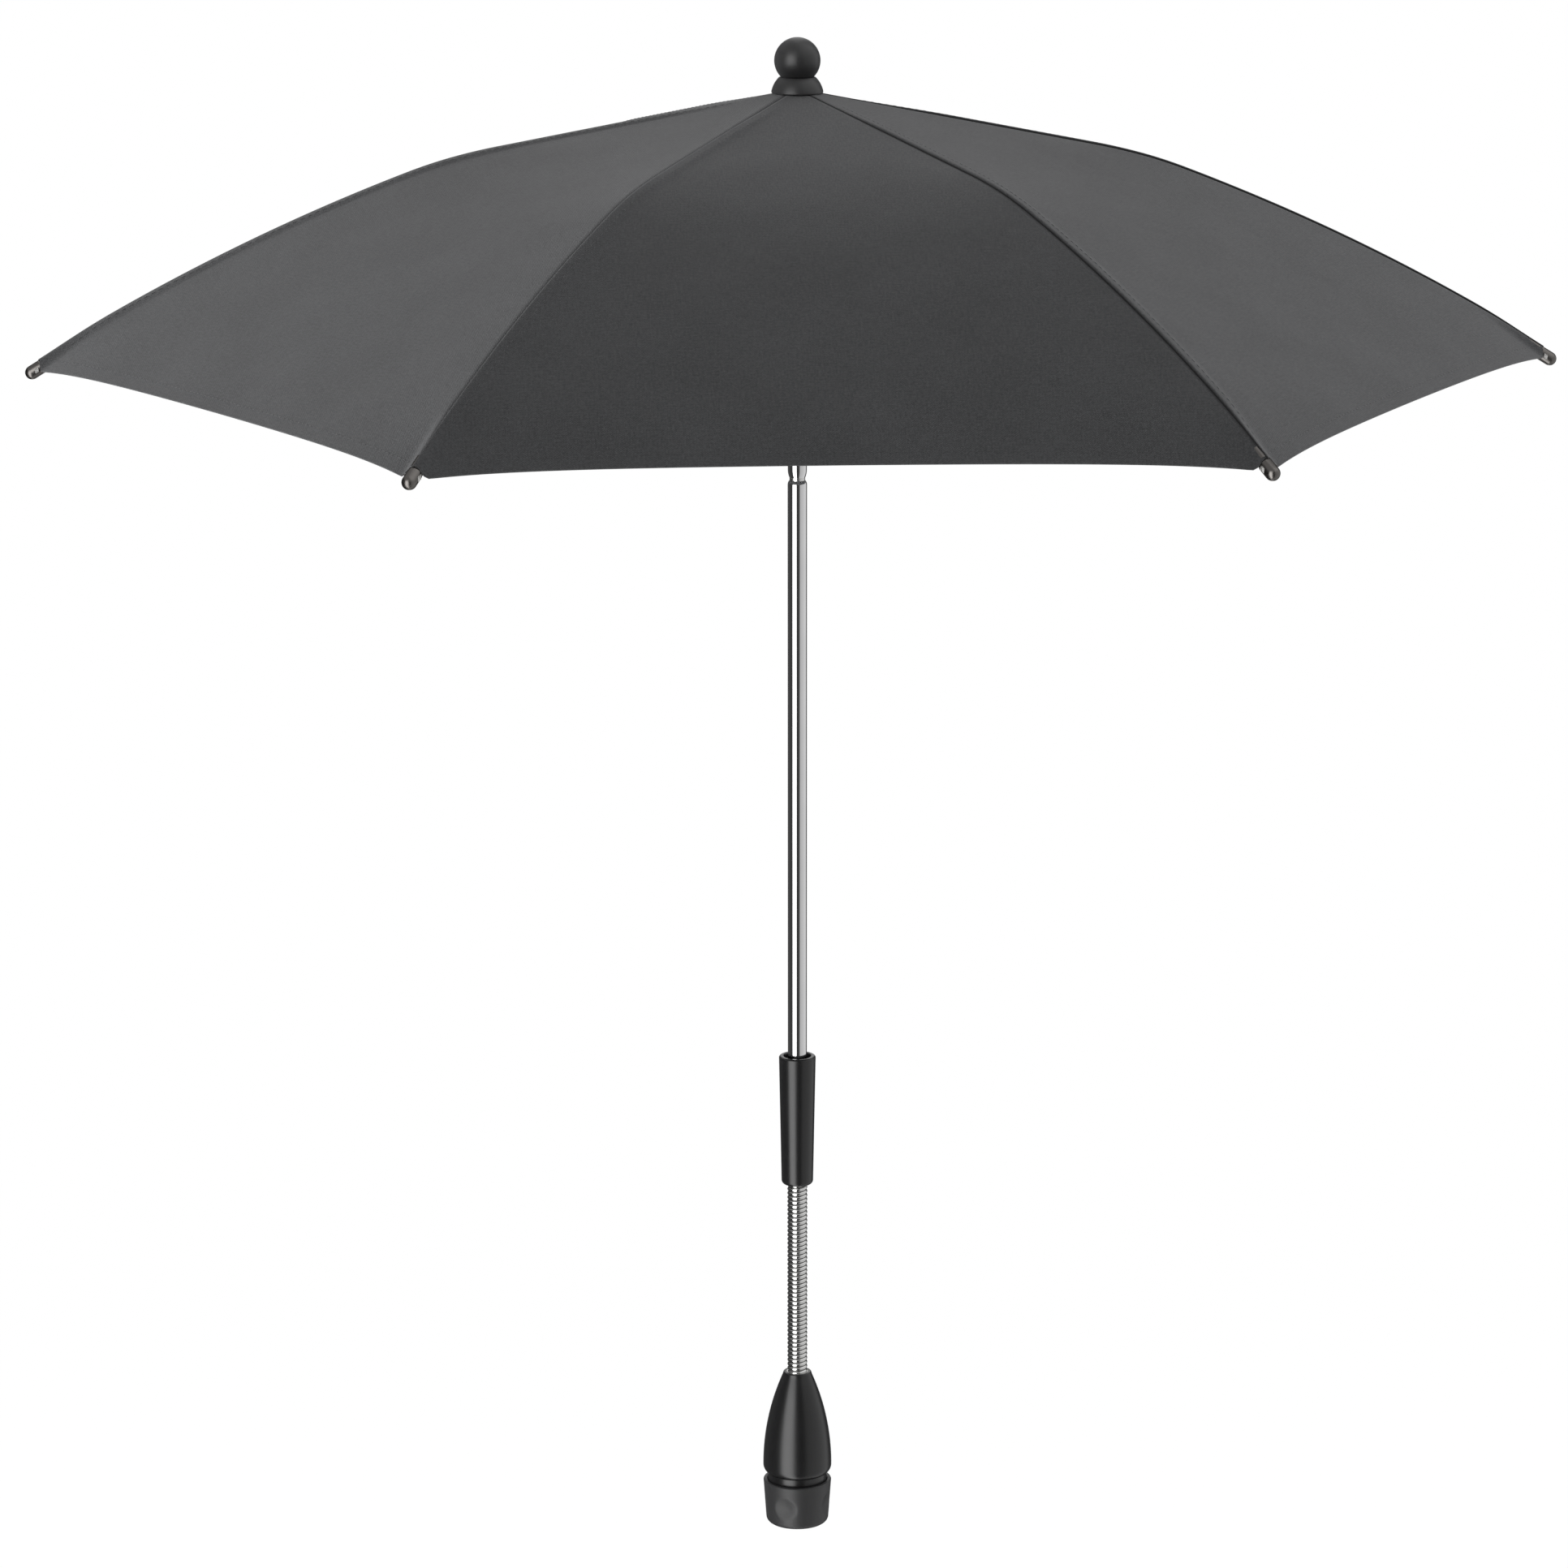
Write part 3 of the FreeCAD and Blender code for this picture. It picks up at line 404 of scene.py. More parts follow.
def wound(name, start, turns):
    """New piece: round wire turns that climb from a height, with the wall behind them."""
    swell = NECK_RIDGE - NECK_VALLEY
    ridge = [(NECK_VALLEY + swell * math.sin(math.pi * step / RIDGE_STEPS) ** RIDGE_FULLNESS,
              start + turn_pitch * step / RIDGE_STEPS) for step in range(RIDGE_STEPS + 1)]
    bpy.ops.object.select_all(action="DESELECT")
    bpy.ops.mesh.primitive_plane_add(size=turn_pitch)
    piece = bpy.context.object
    piece.name = piece.data.name = name
    bpy.ops.object.mode_set(mode="EDIT")
    bpy.ops.mesh.select_all(action="SELECT")
    bpy.ops.mesh.merge(type="CENTER")
    bpy.ops.transform.translate(value=(0, ridge[0][0], ridge[0][1]))
    for near, far in zip(ridge, ridge[1:]):
        bpy.ops.mesh.extrude_region_move(
            TRANSFORM_OT_translate={"value": (0, far[0] - near[0], far[1] - near[1])})
    bpy.ops.object.mode_set(mode="OBJECT")
    winding = piece.modifiers.new("Winding", "SCREW")
    winding.axis = "Z"
    winding.angle = math.tau
    winding.screw_offset = turn_pitch
    winding.iterations = turns
    winding.steps = winding.render_steps = 48
    bpy.ops.object.modifier_apply(modifier=winding.name)
    bpy.ops.object.mode_set(mode="EDIT")
    bpy.ops.mesh.select_all(action="SELECT")
    bpy.ops.mesh.remove_doubles(threshold=NECK_WELD)
    bpy.ops.mesh.normals_make_consistent(inside=False)
    bpy.ops.object.mode_set(mode="OBJECT")
    outward = sum(polygon.normal.xy.dot(polygon.center.xy) for polygon in piece.data.polygons)
    if outward < 0:
        piece.data.flip_normals()
    depth = piece.data.attributes.new("depth", "FLOAT", "POINT")
    for vertex in piece.data.vertices:
        depth.data[vertex.index].value = (vertex.co.xy.length - NECK_VALLEY) / swell
    wall = piece.modifiers.new("Wall", "SOLIDIFY")
    wall.thickness = NECK_WALL
    wall.offset = -1
    bpy.ops.object.modifier_apply(modifier=wall.name)
    bpy.ops.object.shade_smooth_by_angle(angle=SOFT_EDGE)
    return piece


neck_nodes = finish("gooseneck_wire", {"Metallic": 1.0})
ridge_depth = neck_nodes.node("ShaderNodeAttribute", {"attribute_name": "depth"}, output="Fac")
# Painted shade: the wire's colour darkens to 12 percent of the steel in the valleys between turns, where
# shade falls. The valleys are also made rougher.
painted_valley_shade = 1 - neck_nodes.eased(ridge_depth, 0.0, 0.75)
neck_smear = neck_nodes.noise(neck_nodes.place(), 300.0, 3.0)
neck_nodes.join(neck_nodes.shader["Base Color"],
                neck_nodes.mixed(painted_valley_shade, NECK_STEEL, shaded(NECK_STEEL, 0.12)))
neck_nodes.join(neck_nodes.shader["Roughness"], 0.1 + 0.1 * neck_smear + 0.35 * painted_valley_shade)
for run, (height, below, above) in enumerate(neck_joints, 1):
    piece = wound(f"gooseneck_turns_{run}", height - 3 * turn_pitch, TURNS_PER_RUN)
    piece.data.materials.append(neck_nodes.material)
    height + 2 * turn_pitch
    height - 2 * turn_pitch
    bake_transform(piece)
    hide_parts(f"gooseneck_link_{run + 1}")
neck_foot = wound("gooseneck_turns_foot", neck_base - turn_pitch, FOOT_TURNS)
dressed(neck_foot, "foot", "gooseneck_wire", neck_nodes.material, "gooseneck_link_1", "gooseneck_core")
neck_head = wound("gooseneck_turns_head", neck_joints[-1][0] + 2 * turn_pitch, HEAD_TURNS)
dressed(neck_head, "pole", "gooseneck_wire", neck_nodes.material)

# Grip sleeve. A tapered gloss black moulding pushed up over the pole's foot; its mouth is wider than
# the tube that stands in it, so a dark ring shows round the chrome.
SLEEVE_FOOT = 0.00705
SLEEVE_RIM = 0.0082
SLEEVE_MOUTH = 0.00595
SLEEVE_MOUTH_DEPTH = 0.014
SLEEVE_FOOT_ROUNDING = 0.0019
SLEEVE_RIM_ROUNDING = 0.0009
SLEEVE_MOUTH_ROUNDING = 0.0006
TUBE_RADIUS = 0.00425
FIT = 0.00003
sleeve_low, sleeve_high = (corner.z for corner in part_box("grip_sleeve"))
tube_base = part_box("pole_tube")[0].z
sleeve_step = sleeve_high - SLEEVE_MOUTH_DEPTH
sleeve_outline = rounded([
    (FERRULE_RADIUS, tube_base), (FERRULE_RADIUS, sleeve_low, FINE_ROUNDING),
    (SLEEVE_FOOT, sleeve_low, SLEEVE_FOOT_ROUNDING), (SLEEVE_RIM, sleeve_high, SLEEVE_RIM_ROUNDING),
    (SLEEVE_MOUTH, sleeve_high, SLEEVE_MOUTH_ROUNDING), (SLEEVE_MOUTH, sleeve_step),
    (TUBE_RADIUS + FIT, sleeve_step), (TUBE_RADIUS + FIT, tube_base), (FERRULE_RADIUS, tube_base)])
sleeve = turned("grip_sleeve_moulding", sleeve_outline)
dressed(sleeve, "pole", "black_moulding", gloss_black, "grip_sleeve")

# Pole tube and canopy shaft. Two lengths of thin steel tube, polished and chromed, with their meeting
# ends rolled in to a spigot; the shaft's bead and the groove under it show below the canopy's hem.
CHROME = (0.83, 0.83, 0.835)
SPIGOT_ALUMINIUM = (0.78, 0.78, 0.77)
TUBE_BORE = 0.00345
ROLLED_EDGE = 0.00355
POLE_ROUNDING = 0.002
BEAD_ROUNDING = 0.0034
BEAD_LENGTH = 0.0075
BEAD_END = 0.0105
BEAD_WAIST = 0.00016
BEAD_DIP = 0.0012
BEAD_STEPS = 24
pole_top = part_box("pole_tube")[1].z
shaft_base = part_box("canopy_shaft")[0].z
chrome = drawn("chromed_tube", CHROME, 0.045, (1600.0, 1600.0, 14.0))
pole_end = eased_arc((TUBE_RADIUS, pole_top - POLE_ROUNDING), (ROLLED_EDGE, pole_top), 10)
pole_outline = [(TUBE_BORE, tube_base), (TUBE_RADIUS, tube_base), *pole_end,
                (TUBE_BORE, pole_top), (TUBE_BORE, tube_base)]
pole = turned("pole_tube_chromed", pole_outline, steps=128)
dressed(pole, "pole", "chromed_tube", chrome, "pole_tube")
spigot_metal = drawn("spigot_aluminium", SPIGOT_ALUMINIUM, 0.25, (60.0, 60.0, 2500.0))
softened("neck_spigot", 0.0002, spigot_metal, "spigot_metal", "pole")
bead_side = TUBE_RADIUS - BEAD_WAIST / 2
bead_outline = [(TUBE_BORE, shaft_base + BEAD_END), (TUBE_BORE, shaft_base)]
bead_outline += eased_arc((bead_side, shaft_base + BEAD_ROUNDING), (ROLLED_EDGE, shaft_base), 14)[::-1]
for step in range(1, BEAD_STEPS + 1):
    height = BEAD_ROUNDING + (BEAD_END - BEAD_ROUNDING) * step / BEAD_STEPS
    dip = math.exp(-((height - BEAD_LENGTH) / BEAD_DIP) ** 2)
    rise = (height - BEAD_ROUNDING) / (BEAD_END - BEAD_ROUNDING)
    bead_outline.append((bead_side + BEAD_WAIST / 2 * rise - BEAD_WAIST * dip, shaft_base + height))
bead_outline.append(bead_outline[0])
bead = turned("canopy_shaft_bead", bead_outline, steps=128)
dressed(bead, "pole", "chromed_tube", chrome, "canopy_shaft")
shaft = softened("canopy_shaft", 0, chrome, "chromed_tube", "pole")
bpy.ops.object.select_all(action="DESELECT")
shaft.select_set(True)
bpy.context.view_layer.objects.active = shaft
bpy.ops.object.mode_set(mode="EDIT")
bpy.ops.mesh.select_all(action="SELECT")
bpy.ops.mesh.bisect(plane_co=(0, 0, shaft_base + BEAD_END), plane_no=(0, 0, 1), clear_inner=True)
bpy.ops.object.mode_set(mode="OBJECT")

# Runner and its catch. The runner is a black nylon slider on the shaft with a slotted flange for the
# stretchers' pins and a finger grip below; a flat spring in the shaft stands out under it when open.
RUNNER_BLACK = (0.016, 0.016, 0.017)
runner_black = moulded("runner_nylon", RUNNER_BLACK, 0.42, 0.0004, 0.00002)
softened("runner", 0.0003, runner_black, "runner_moulding", "runner")
softened("runner_catch", 0.00015, spring_steel, "spring_steel", "catch")

# Crown. A notched nylon hub pressed on the shaft's top, a bent wire through its notches that the ribs
# turn on, and an aluminium stud that carries the finial. All of it is under the cloth.
softened("crown_hub", 0.0003, runner_black, "runner_moulding", "pole")
softened("crown_wire", 0, spring_steel, "spring_steel", "pole")
softened("crown_stud", 0.0002, spigot_metal, "spigot_metal", "pole")

# Ribs, clips and stretchers. Round steel rods and flat bars, all stove-enamelled black. Each clip is a
# stamped saddle closed round its rib, and a rivet through its ears carries the stretcher.
ENAMEL_BLACK = (0.02, 0.02, 0.021)
RIB_COUNT = 6


def enamelled(name, colour, roughness):
    """Stove enamel on steel: a thin glossy skin with fine orange peel and lighter rubbed patches."""
    nodes = finish(name, {"Metallic": 0.0, "Specular IOR Level": 0.55})
    place = nodes.place()
    peel = nodes.noise(place, 900.0)
    rubbed = nodes.eased(nodes.noise(place, 160.0, 5.0), 0.6, 0.8)
    nodes.join(nodes.shader["Base Color"], nodes.mixed(rubbed, colour, shaded(colour, 1.7)))
    nodes.join(nodes.shader["Roughness"], roughness + 0.08 * peel + 0.1 * rubbed)
    nodes.join(nodes.shader["Normal"], nodes.bump(peel, 0.00001))
    return nodes.material


enamel = enamelled("black_enamel", ENAMEL_BLACK, 0.26)
for number in range(1, RIB_COUNT + 1):
    softened(f"rib_{number}", 0, enamel, "rib_steel", f"rib_arm_{number}")
    softened(f"rib_clip_{number}", 0.0001, enamel, "clip_steel", f"rib_arm_{number}")
    softened(f"stretcher_{number}", 0.0002, enamel, "rib_steel", f"stretcher_arm_{number}")

# Rib tips. Round-ended gunmetal caps pressed over the ribs' ends, each with a shallow groove near its
# mouth where the corner of the cloth is sewn on.
GUNMETAL = (0.17, 0.16, 0.152)
TIP_RADIUS = 0.003
TIP_LENGTH = 0.016
TIP_MOUTH = (0.3172016, 0.536078)
TIP_SLOPE = math.radians(31.809)
TIP_BORE = 0.0014
TIP_BORE_DEPTH = 0.0081
TIP_GROOVE = 0.00035
TIP_GROOVE_NEAR = 0.0062, 0.0067
TIP_GROOVE_FAR = 0.0075, 0.008
TIP_ROUNDING = 0.0003
TIP_MOUTH_ROUNDING = 0.0004
TIP_END_STEPS = 10
gunmetal = drawn("gunmetal_tip", GUNMETAL, 0.3, (400.0, 400.0, 400.0))
tip_end = []
for step in range(TIP_END_STEPS + 1):
    turn = math.radians(90 / TIP_END_STEPS * step)
    tip_end.append((TIP_RADIUS * math.cos(turn), TIP_LENGTH - TIP_RADIUS + TIP_RADIUS * math.sin(turn)))
tip_waist = TIP_RADIUS - TIP_GROOVE
tip_outline = rounded([
    (0.0, TIP_BORE_DEPTH), (TIP_BORE, TIP_BORE_DEPTH), (TIP_BORE, 0.0),
    (TIP_RADIUS, 0.0, TIP_MOUTH_ROUNDING), (TIP_RADIUS, TIP_GROOVE_NEAR[0], TIP_ROUNDING),
    (tip_waist, TIP_GROOVE_NEAR[1], TIP_ROUNDING), (tip_waist, TIP_GROOVE_FAR[0], TIP_ROUNDING),
    (TIP_RADIUS, TIP_GROOVE_FAR[1], TIP_ROUNDING), *tip_end])
rib_angles = {}
for number in range(1, RIB_COUNT + 1):
    eye = next(joint["pos_m"] for joint in frame["joints"] if joint["name"] == f"rib_{number}_fold")
    rib_angles[number] = math.atan2(eye[1], eye[0])
    tip = turned(f"rib_tip_{number}_cap", tip_outline, steps=48)
    lean = Matrix.Rotation(math.pi / 2 + TIP_SLOPE, 4, "Y")
    stand = Matrix.Translation((TIP_MOUTH[0], 0, TIP_MOUTH[1]))
    tip.matrix_world = Matrix.Rotation(rib_angles[number], 4, "Z") @ stand @ lean
    bpy.ops.object.transform_apply(location=True, rotation=True, scale=True)
    dressed(tip, f"rib_arm_{number}", "tip_metal", gunmetal, f"rib_tip_{number}")

# Canopy cloth. Six cut triangles of closely woven grey polyester, seamed together over the ribs and
# hemmed. It is shaped here as halves that meet along the middle of each triangle.
CLOTH_GREY = (0.082, 0.083, 0.086)
CLOTH_INNER = 0.0085
CLOTH_CORNER = 0.3279
CLOTH_JOINT = 0.148
CLOTH_TOP = 0.646425
COLLAR_RADIUS = 0.0111
INNER_FALL = math.tan(math.radians(10.76))
OUTER_SLOPES = math.radians(19.5), math.radians(31.5)
OUTER_SINES = math.sin(OUTER_SLOPES[0]), math.sin(OUTER_SLOPES[1])
OUTER_RUN = 0.176
OUTER_RADIUS = OUTER_RUN / (OUTER_SINES[1] - OUTER_SINES[0])
KNEE_BEND = math.tan(OUTER_SLOPES[0]) - INNER_FALL
KNEE_EASE = 0.018
MIDDLE_EASE = 0.06
GORE_SAG = 0.0015
HEM_INSET = 0.0025
CLOTH_THICKNESS = 0.0006
SEAM_LAP = 0.0004
SEAM_ROLL = 0.0013
SEAM_RISE = 0.0007
SEAM_DEPTH = 0.0008
SEAM_BAND = 0.0046
SEAM_EDGE = 0.002
SEAM_START = 0.02
SEAM_RUN_IN = 0.05
# Widths of the painted shade in the seam groove beside each rib, for the rolled edge (1) and for the edge
# that dips under it (-1).
SEAM_SHADE_WIDTH = {1: 0.0006, -1: 0.0019}
HOOD_DROP = 0.0037
HOOD_SPREAD = 0.027
HOOD_SIDE = 0.0065
HOOD_REACH = 0.034
HOOD_NOTCH = 0.0026
CORNER_PRESS = 0.0004
HALF_GORE = math.pi / RIB_COUNT
ROWS = 92
ROW_CROWDING = 1.25
COLUMNS = 30
COLUMN_CROWDING = 2.6
YARN_PITCH = 0.0011


def smooth(value):
    """0 to 1 with level ends."""
    value = min(1.0, max(0.0, value))
    return value * value * (3 - 2 * value)


def cloth_height(station, ease):
    """Height of the cloth: straight to the knee at the clip, then a shallow arc, with the knee eased."""
    height = CLOTH_TOP - INNER_FALL * (min(station, CLOTH_JOINT) - COLLAR_RADIUS)
    past = station - CLOTH_JOINT
    if past > 0:
        sine = OUTER_SINES[0] + past / OUTER_RADIUS
        height -= OUTER_RADIUS * (math.sqrt(1 - OUTER_SINES[0] ** 2) - math.sqrt(1 - sine ** 2))
    return height - KNEE_BEND * max(0.0, ease - abs(past)) ** 2 / (4 * ease)


def seam_height(from_rib, station, side):
    """The left edge of a gore is folded and rolls over the seam; the right edge dips under it."""
    if side == -1:
        return -SEAM_DEPTH * max(0.0, 1 - from_rib / (2 * SEAM_ROLL)) ** 2
    rise = SEAM_RISE * smooth((station - SEAM_START) / SEAM_RUN_IN)
    rise *= smooth((CLOTH_CORNER - station) / HOOD_REACH)
    roll = math.sqrt(1 - max(0.0, 1 - max(0.0, from_rib) / SEAM_ROLL) ** 2)
    return (SEAM_DEPTH + rise) * roll - SEAM_DEPTH - rise * smooth((from_rib - SEAM_BAND) / SEAM_EDGE)


def rib_gap(station, share):
    """Distance from the rib to a point at a share of the way to the gore's middle."""
    return share * station * math.sin(HALF_GORE) * math.cos(HALF_GORE)


def cloth_point(station, share, side):
    """Point of a gore at a station along its rib, from the rib (share 0) to its middle (share 1).
    x runs along the gore's middle, y to the rib."""
    past = max(0.0, (station - CLOTH_JOINT) / (CLOTH_CORNER - CLOTH_JOINT))
    belly = 1 - (1 - share) ** 2
    from_rib = rib_gap(station, share)
    near_corner = smooth(1 - (CLOTH_CORNER - station) / HOOD_REACH)
    station -= HOOD_NOTCH * smooth(1 - from_rib / HOOD_SIDE) * near_corner ** 2
    inset = HEM_INSET * past ** 2 * belly
    x = station * math.cos(HALF_GORE) - inset
    y = station * math.sin(HALF_GORE) * (1 - share) + SEAM_LAP * (1 - smooth(from_rib / SEAM_EDGE))
    z = cloth_height(station - inset / math.cos(HALF_GORE), KNEE_EASE + (MIDDLE_EASE - KNEE_EASE) * belly)
    z -= GORE_SAG * station / CLOTH_CORNER * belly + CORNER_PRESS * near_corner ** 2
    z -= HOOD_DROP * near_corner * smooth(from_rib / HOOD_SIDE) * math.exp(-from_rib / HOOD_SPREAD)
    return Vector((x, y, z + seam_height(from_rib, station, side)))


def cloth_finish(name, colour):
    """Closely woven polyester: two tones of yarn, a fine plain weave and soft heather, and painted shade
    that darkens the seam groove beside each rib.
    """
    nodes = finish(name, {"Sheen Weight": 0.12, "Sheen Roughness": 0.5, "Specular IOR Level": 0.3})
    place = nodes.place("UV")
    across = nodes.node("ShaderNodeSeparateXYZ", {}, {0: place}, "X")
    along = nodes.node("ShaderNodeSeparateXYZ", {}, {0: place}, "Y")
    yarn = math.tau / YARN_PITCH
    weave = nodes.sine(across * yarn) * nodes.sine(along * yarn)
    heather = nodes.noise(place, 950.0)
    slub = nodes.noise(nodes.stretched(place, (1900.0, 160.0, 1.0)), 1.0)
    cross_slub = nodes.noise(nodes.stretched(place, (160.0, 1900.0, 1.0)), 1.0)
    cloud = nodes.noise(place, 26.0, 3.0)
    tone = 0.42 * heather + 0.22 * slub + 0.22 * cross_slub + 0.14 * cloud + 0.04 * weave
    share = nodes.eased(tone, 0.3, 0.7)
    yarns = nodes.mixed(share, shaded(colour, 0.66), shaded(colour, 1.36))
    # Painted shade: the cloth's colour goes nearly black in the groove beside each rib, where shade falls
    # in the seam.
    crease = nodes.node("ShaderNodeAttribute", {"attribute_name": "crease"}, output="Fac")
    nodes.join(nodes.shader["Base Color"], nodes.mixed(0.94 * crease, yarns, shaded(colour, 0.08)))
    nodes.join(nodes.shader["Roughness"], 0.78 + 0.18 * heather)
    nodes.join(nodes.shader["Normal"], nodes.bump(weave + 0.6 * slub + 0.6 * cross_slub, 0.00006, 0.7))
    return nodes.material


cloth_grey = cloth_finish("woven_polyester", CLOTH_GREY)
shares = [1 - (1 - row / ROWS) ** ROW_CROWDING for row in range(ROWS + 1)]
stations = [CLOTH_INNER + (CLOTH_CORNER - CLOTH_INNER) * share for share in shares]


def half_gore(name, middle, side):
    """One half of a gore: side 1 lies next to the rib on the gore's left, -1 on its right."""
    bpy.ops.object.select_all(action="DESELECT")
    bpy.ops.mesh.primitive_grid_add(x_subdivisions=COLUMNS, y_subdivisions=ROWS, size=2)
    piece = bpy.context.object
    piece.name = piece.data.name = name
    turn = Matrix.Rotation(middle, 4, "Z")
    laid, gaps = {}, {}
    for vertex in piece.data.vertices:
        share = ((vertex.co.x + 1) / 2) ** COLUMN_CROWDING
        row = round((vertex.co.y + 1) / 2 * ROWS)
        point = cloth_point(stations[row], share, side)
        laid[vertex.index] = (-side * point.y, stations[row])
        gaps[vertex.index] = rib_gap(stations[row], share)
        vertex.co = turn @ Vector((point.x, -side * point.y, point.z))
    for loop, corner in zip(piece.data.loops, piece.data.uv_layers.active.data):
        corner.uv = laid[loop.vertex_index]
    # Mask of the painted shade: 1 at the rib, falling to 0 across a narrow band of the seam groove.
    crease = piece.data.attributes.new("crease", "FLOAT", "POINT")
    for index, from_rib in gaps.items():
        crease.data[index].value = 1 - smooth(from_rib / SEAM_SHADE_WIDTH[side])
    if piece.data.polygons[0].normal.z < 0:
        piece.data.flip_normals()
    body = piece.modifiers.new("Cloth", "SOLIDIFY")
    body.thickness = CLOTH_THICKNESS
    body.offset = -1
    bpy.ops.object.modifier_apply(modifier=body.name)
    bpy.ops.object.shade_smooth_by_angle(angle=math.radians(40))
    return piece


# Sewing. Dark polyester thread: a row of top stitches beside each seam and another along each hem,
# and a few white stitches that tie every corner to its cap.
STITCH_PITCH = 0.0032
STITCH_LENGTH = 0.0023
STITCH_WIDTH = 0.00032
SEAM_STITCH_INSET = 0.0042
HEM_STITCH_INSET = 0.0062
SEAM_STITCH_START = 0.03
SEAM_STITCH_SHORT = 0.042
TIE_COUNT = 6
TIE_START = 0.0096
TIE_PITCH = 0.0003
TIE_PROUD = 0.0034
TIE_LEAN = 0.45
SHARE_STEP = 0.01
STATION_STEP = 0.001
THREAD_GREY = (0.08, 0.08, 0.083)
THREAD_WHITE = (0.78, 0.77, 0.75)


def thread_finish(name, colour):
    """Twisted sewing thread."""
    nodes = finish(name, {"Sheen Weight": 0.2})
    place = nodes.place()
    twist = nodes.sine(nodes.node("ShaderNodeSeparateXYZ", {}, {0: place}, "Z") * 9000.0)
    fuzz = nodes.noise(place, 2500.0, 3.0)
    nodes.join(nodes.shader["Base Color"], nodes.mixed(fuzz, shaded(colour, 0.75), shaded(colour, 1.25)))
    nodes.join(nodes.shader["Roughness"], 0.6 + 0.2 * fuzz)
    nodes.join(nodes.shader["Normal"], nodes.bump(twist + fuzz, 0.00004))
    return nodes.material


grey_thread = thread_finish("grey_thread", THREAD_GREY)
white_thread = thread_finish("white_thread", THREAD_WHITE)
bpy.ops.object.select_all(action="DESELECT")
bpy.ops.mesh.primitive_uv_sphere_add(segments=8, ring_count=6, radius=1.0)
stitch_form = bpy.context.object
bpy.ops.object.mode_set(mode="EDIT")
bpy.ops.mesh.select_all(action="SELECT")
bpy.ops.transform.resize(value=(STITCH_LENGTH / 2, STITCH_WIDTH / 2, STITCH_WIDTH / 2))
bpy.ops.object.mode_set(mode="OBJECT")
bpy.ops.object.shade_smooth()


def sewn(piece, material, places):
    """Joins a stitch into a piece at each place: its middle, its direction and the cloth's normal."""
    if piece.data.materials.find(material.name) < 0:
        piece.data.materials.append(material)
    bpy.ops.object.select_all(action="DESELECT")
    for middle, along, up in places:
        stitch = bpy.data.objects.new("stitch", stitch_form.data.copy())
        bpy.context.scene.collection.objects.link(stitch)
        stitch.data.materials.append(material)
        beside = up.cross(along).normalized()
        turn = Matrix((along.normalized(), beside, along.cross(beside).normalized())).transposed()
        stitch.matrix_world = Matrix.Translation(middle) @ turn.to_4x4()
        stitch.select_set(True)
    piece.select_set(True)
    bpy.context.view_layer.objects.active = piece
    bpy.ops.object.join()


def cloth_frame(station, share, middle, side):
    """Point on the cloth with the directions along the hem and out of the cloth."""
    turn = Matrix.Rotation(middle, 3, "Z")
    flip = Vector((1, -side, 1))
    here = cloth_point(station, share, side)
    low, high = max(0.0, share - SHARE_STEP), min(1.0, share + SHARE_STEP)
    hemward = cloth_point(station, high, side) - cloth_point(station, low, side)
    outward = cloth_point(station + STATION_STEP, share, side)
    outward = outward - cloth_point(station - STATION_STEP, share, side)
    here, hemward, outward = turn @ (here * flip), turn @ (hemward * flip), turn @ (outward * flip)
    up = outward.cross(hemward).normalized()
    return here, hemward, up if up.z > 0 else -up


def hem_places(middle, side):
    """Stitch places along the hem of half a gore."""
    station = CLOTH_CORNER - HEM_STITCH_INSET
    count = int(station * math.sin(HALF_GORE) / STITCH_PITCH)
    return [cloth_frame(station, (number + 0.5) / count, middle, side) for number in range(2, count)]


def seam_places(middle, side):
    """Stitch places beside the seam of half a gore."""
    count = int((CLOTH_CORNER - SEAM_STITCH_SHORT) / STITCH_PITCH)
    places = []
    for number in range(count):
        station = SEAM_STITCH_START + number * STITCH_PITCH
        share = SEAM_STITCH_INSET / math.cos(HALF_GORE) / (station * math.sin(HALF_GORE))
        near, _, up = cloth_frame(station, share, middle, side)
        far_share = share * station / (station + STITCH_PITCH)
        far = cloth_frame(station + STITCH_PITCH, far_share, middle, side)[0]
        places.append(((near + far) / 2, far - near, up))
    return places


def tie_places(angle, side):
    """Stitch places that tie a corner of the cloth to one side of its cap."""
    out = Vector((math.cos(angle), math.sin(angle), 0))
    across = Vector((-out.y, out.x, 0)) * side
    along = out * math.cos(TIP_SLOPE) - Vector((0, 0, math.sin(TIP_SLOPE)))
    up = out * math.sin(TIP_SLOPE) + Vector((0, 0, math.cos(TIP_SLOPE)))
    mouth = out * TIP_MOUTH[0] + Vector((0, 0, TIP_MOUTH[1]))
    places = []
    for number in range(TIE_COUNT):
        aside = across * (TIE_PROUD if number == 0 else TIP_RADIUS)
        middle = mouth + along * (TIE_START + TIE_PITCH * number) + aside
        places.append((middle, up - along * TIE_LEAN, across))
    return places


# Canopy panels. Every half triangle is sewn, then creased along a line beside its rib: a strip stays on
# the rib, and the flap beyond it rides the same rib.
FLAP_TILT = math.radians(27)
FLAP_POINT = (0.1495, 0.5766)
RIB_CHORD_SLOPE = math.radians(19.09)


def creased(piece, name, anchor, fold):
    """Parts half a gore along its fold line: the piece keeps the flap, and a new one has the rib's strip.
    """
    strip = bpy.data.objects.new(name, piece.data.copy())
    bpy.context.scene.collection.objects.link(strip)
    for part, way in ((piece, fold), (strip, -fold)):
        bpy.ops.object.select_all(action="DESELECT")
        part.select_set(True)
        bpy.context.view_layer.objects.active = part
        bpy.ops.object.mode_set(mode="EDIT")
        bpy.ops.mesh.select_all(action="SELECT")
        bpy.ops.mesh.bisect(plane_co=anchor, plane_no=way, use_fill=True, clear_inner=True)
        bpy.ops.object.mode_set(mode="OBJECT")
        bpy.ops.object.shade_smooth_by_angle(angle=SOFT_EDGE)
    return strip


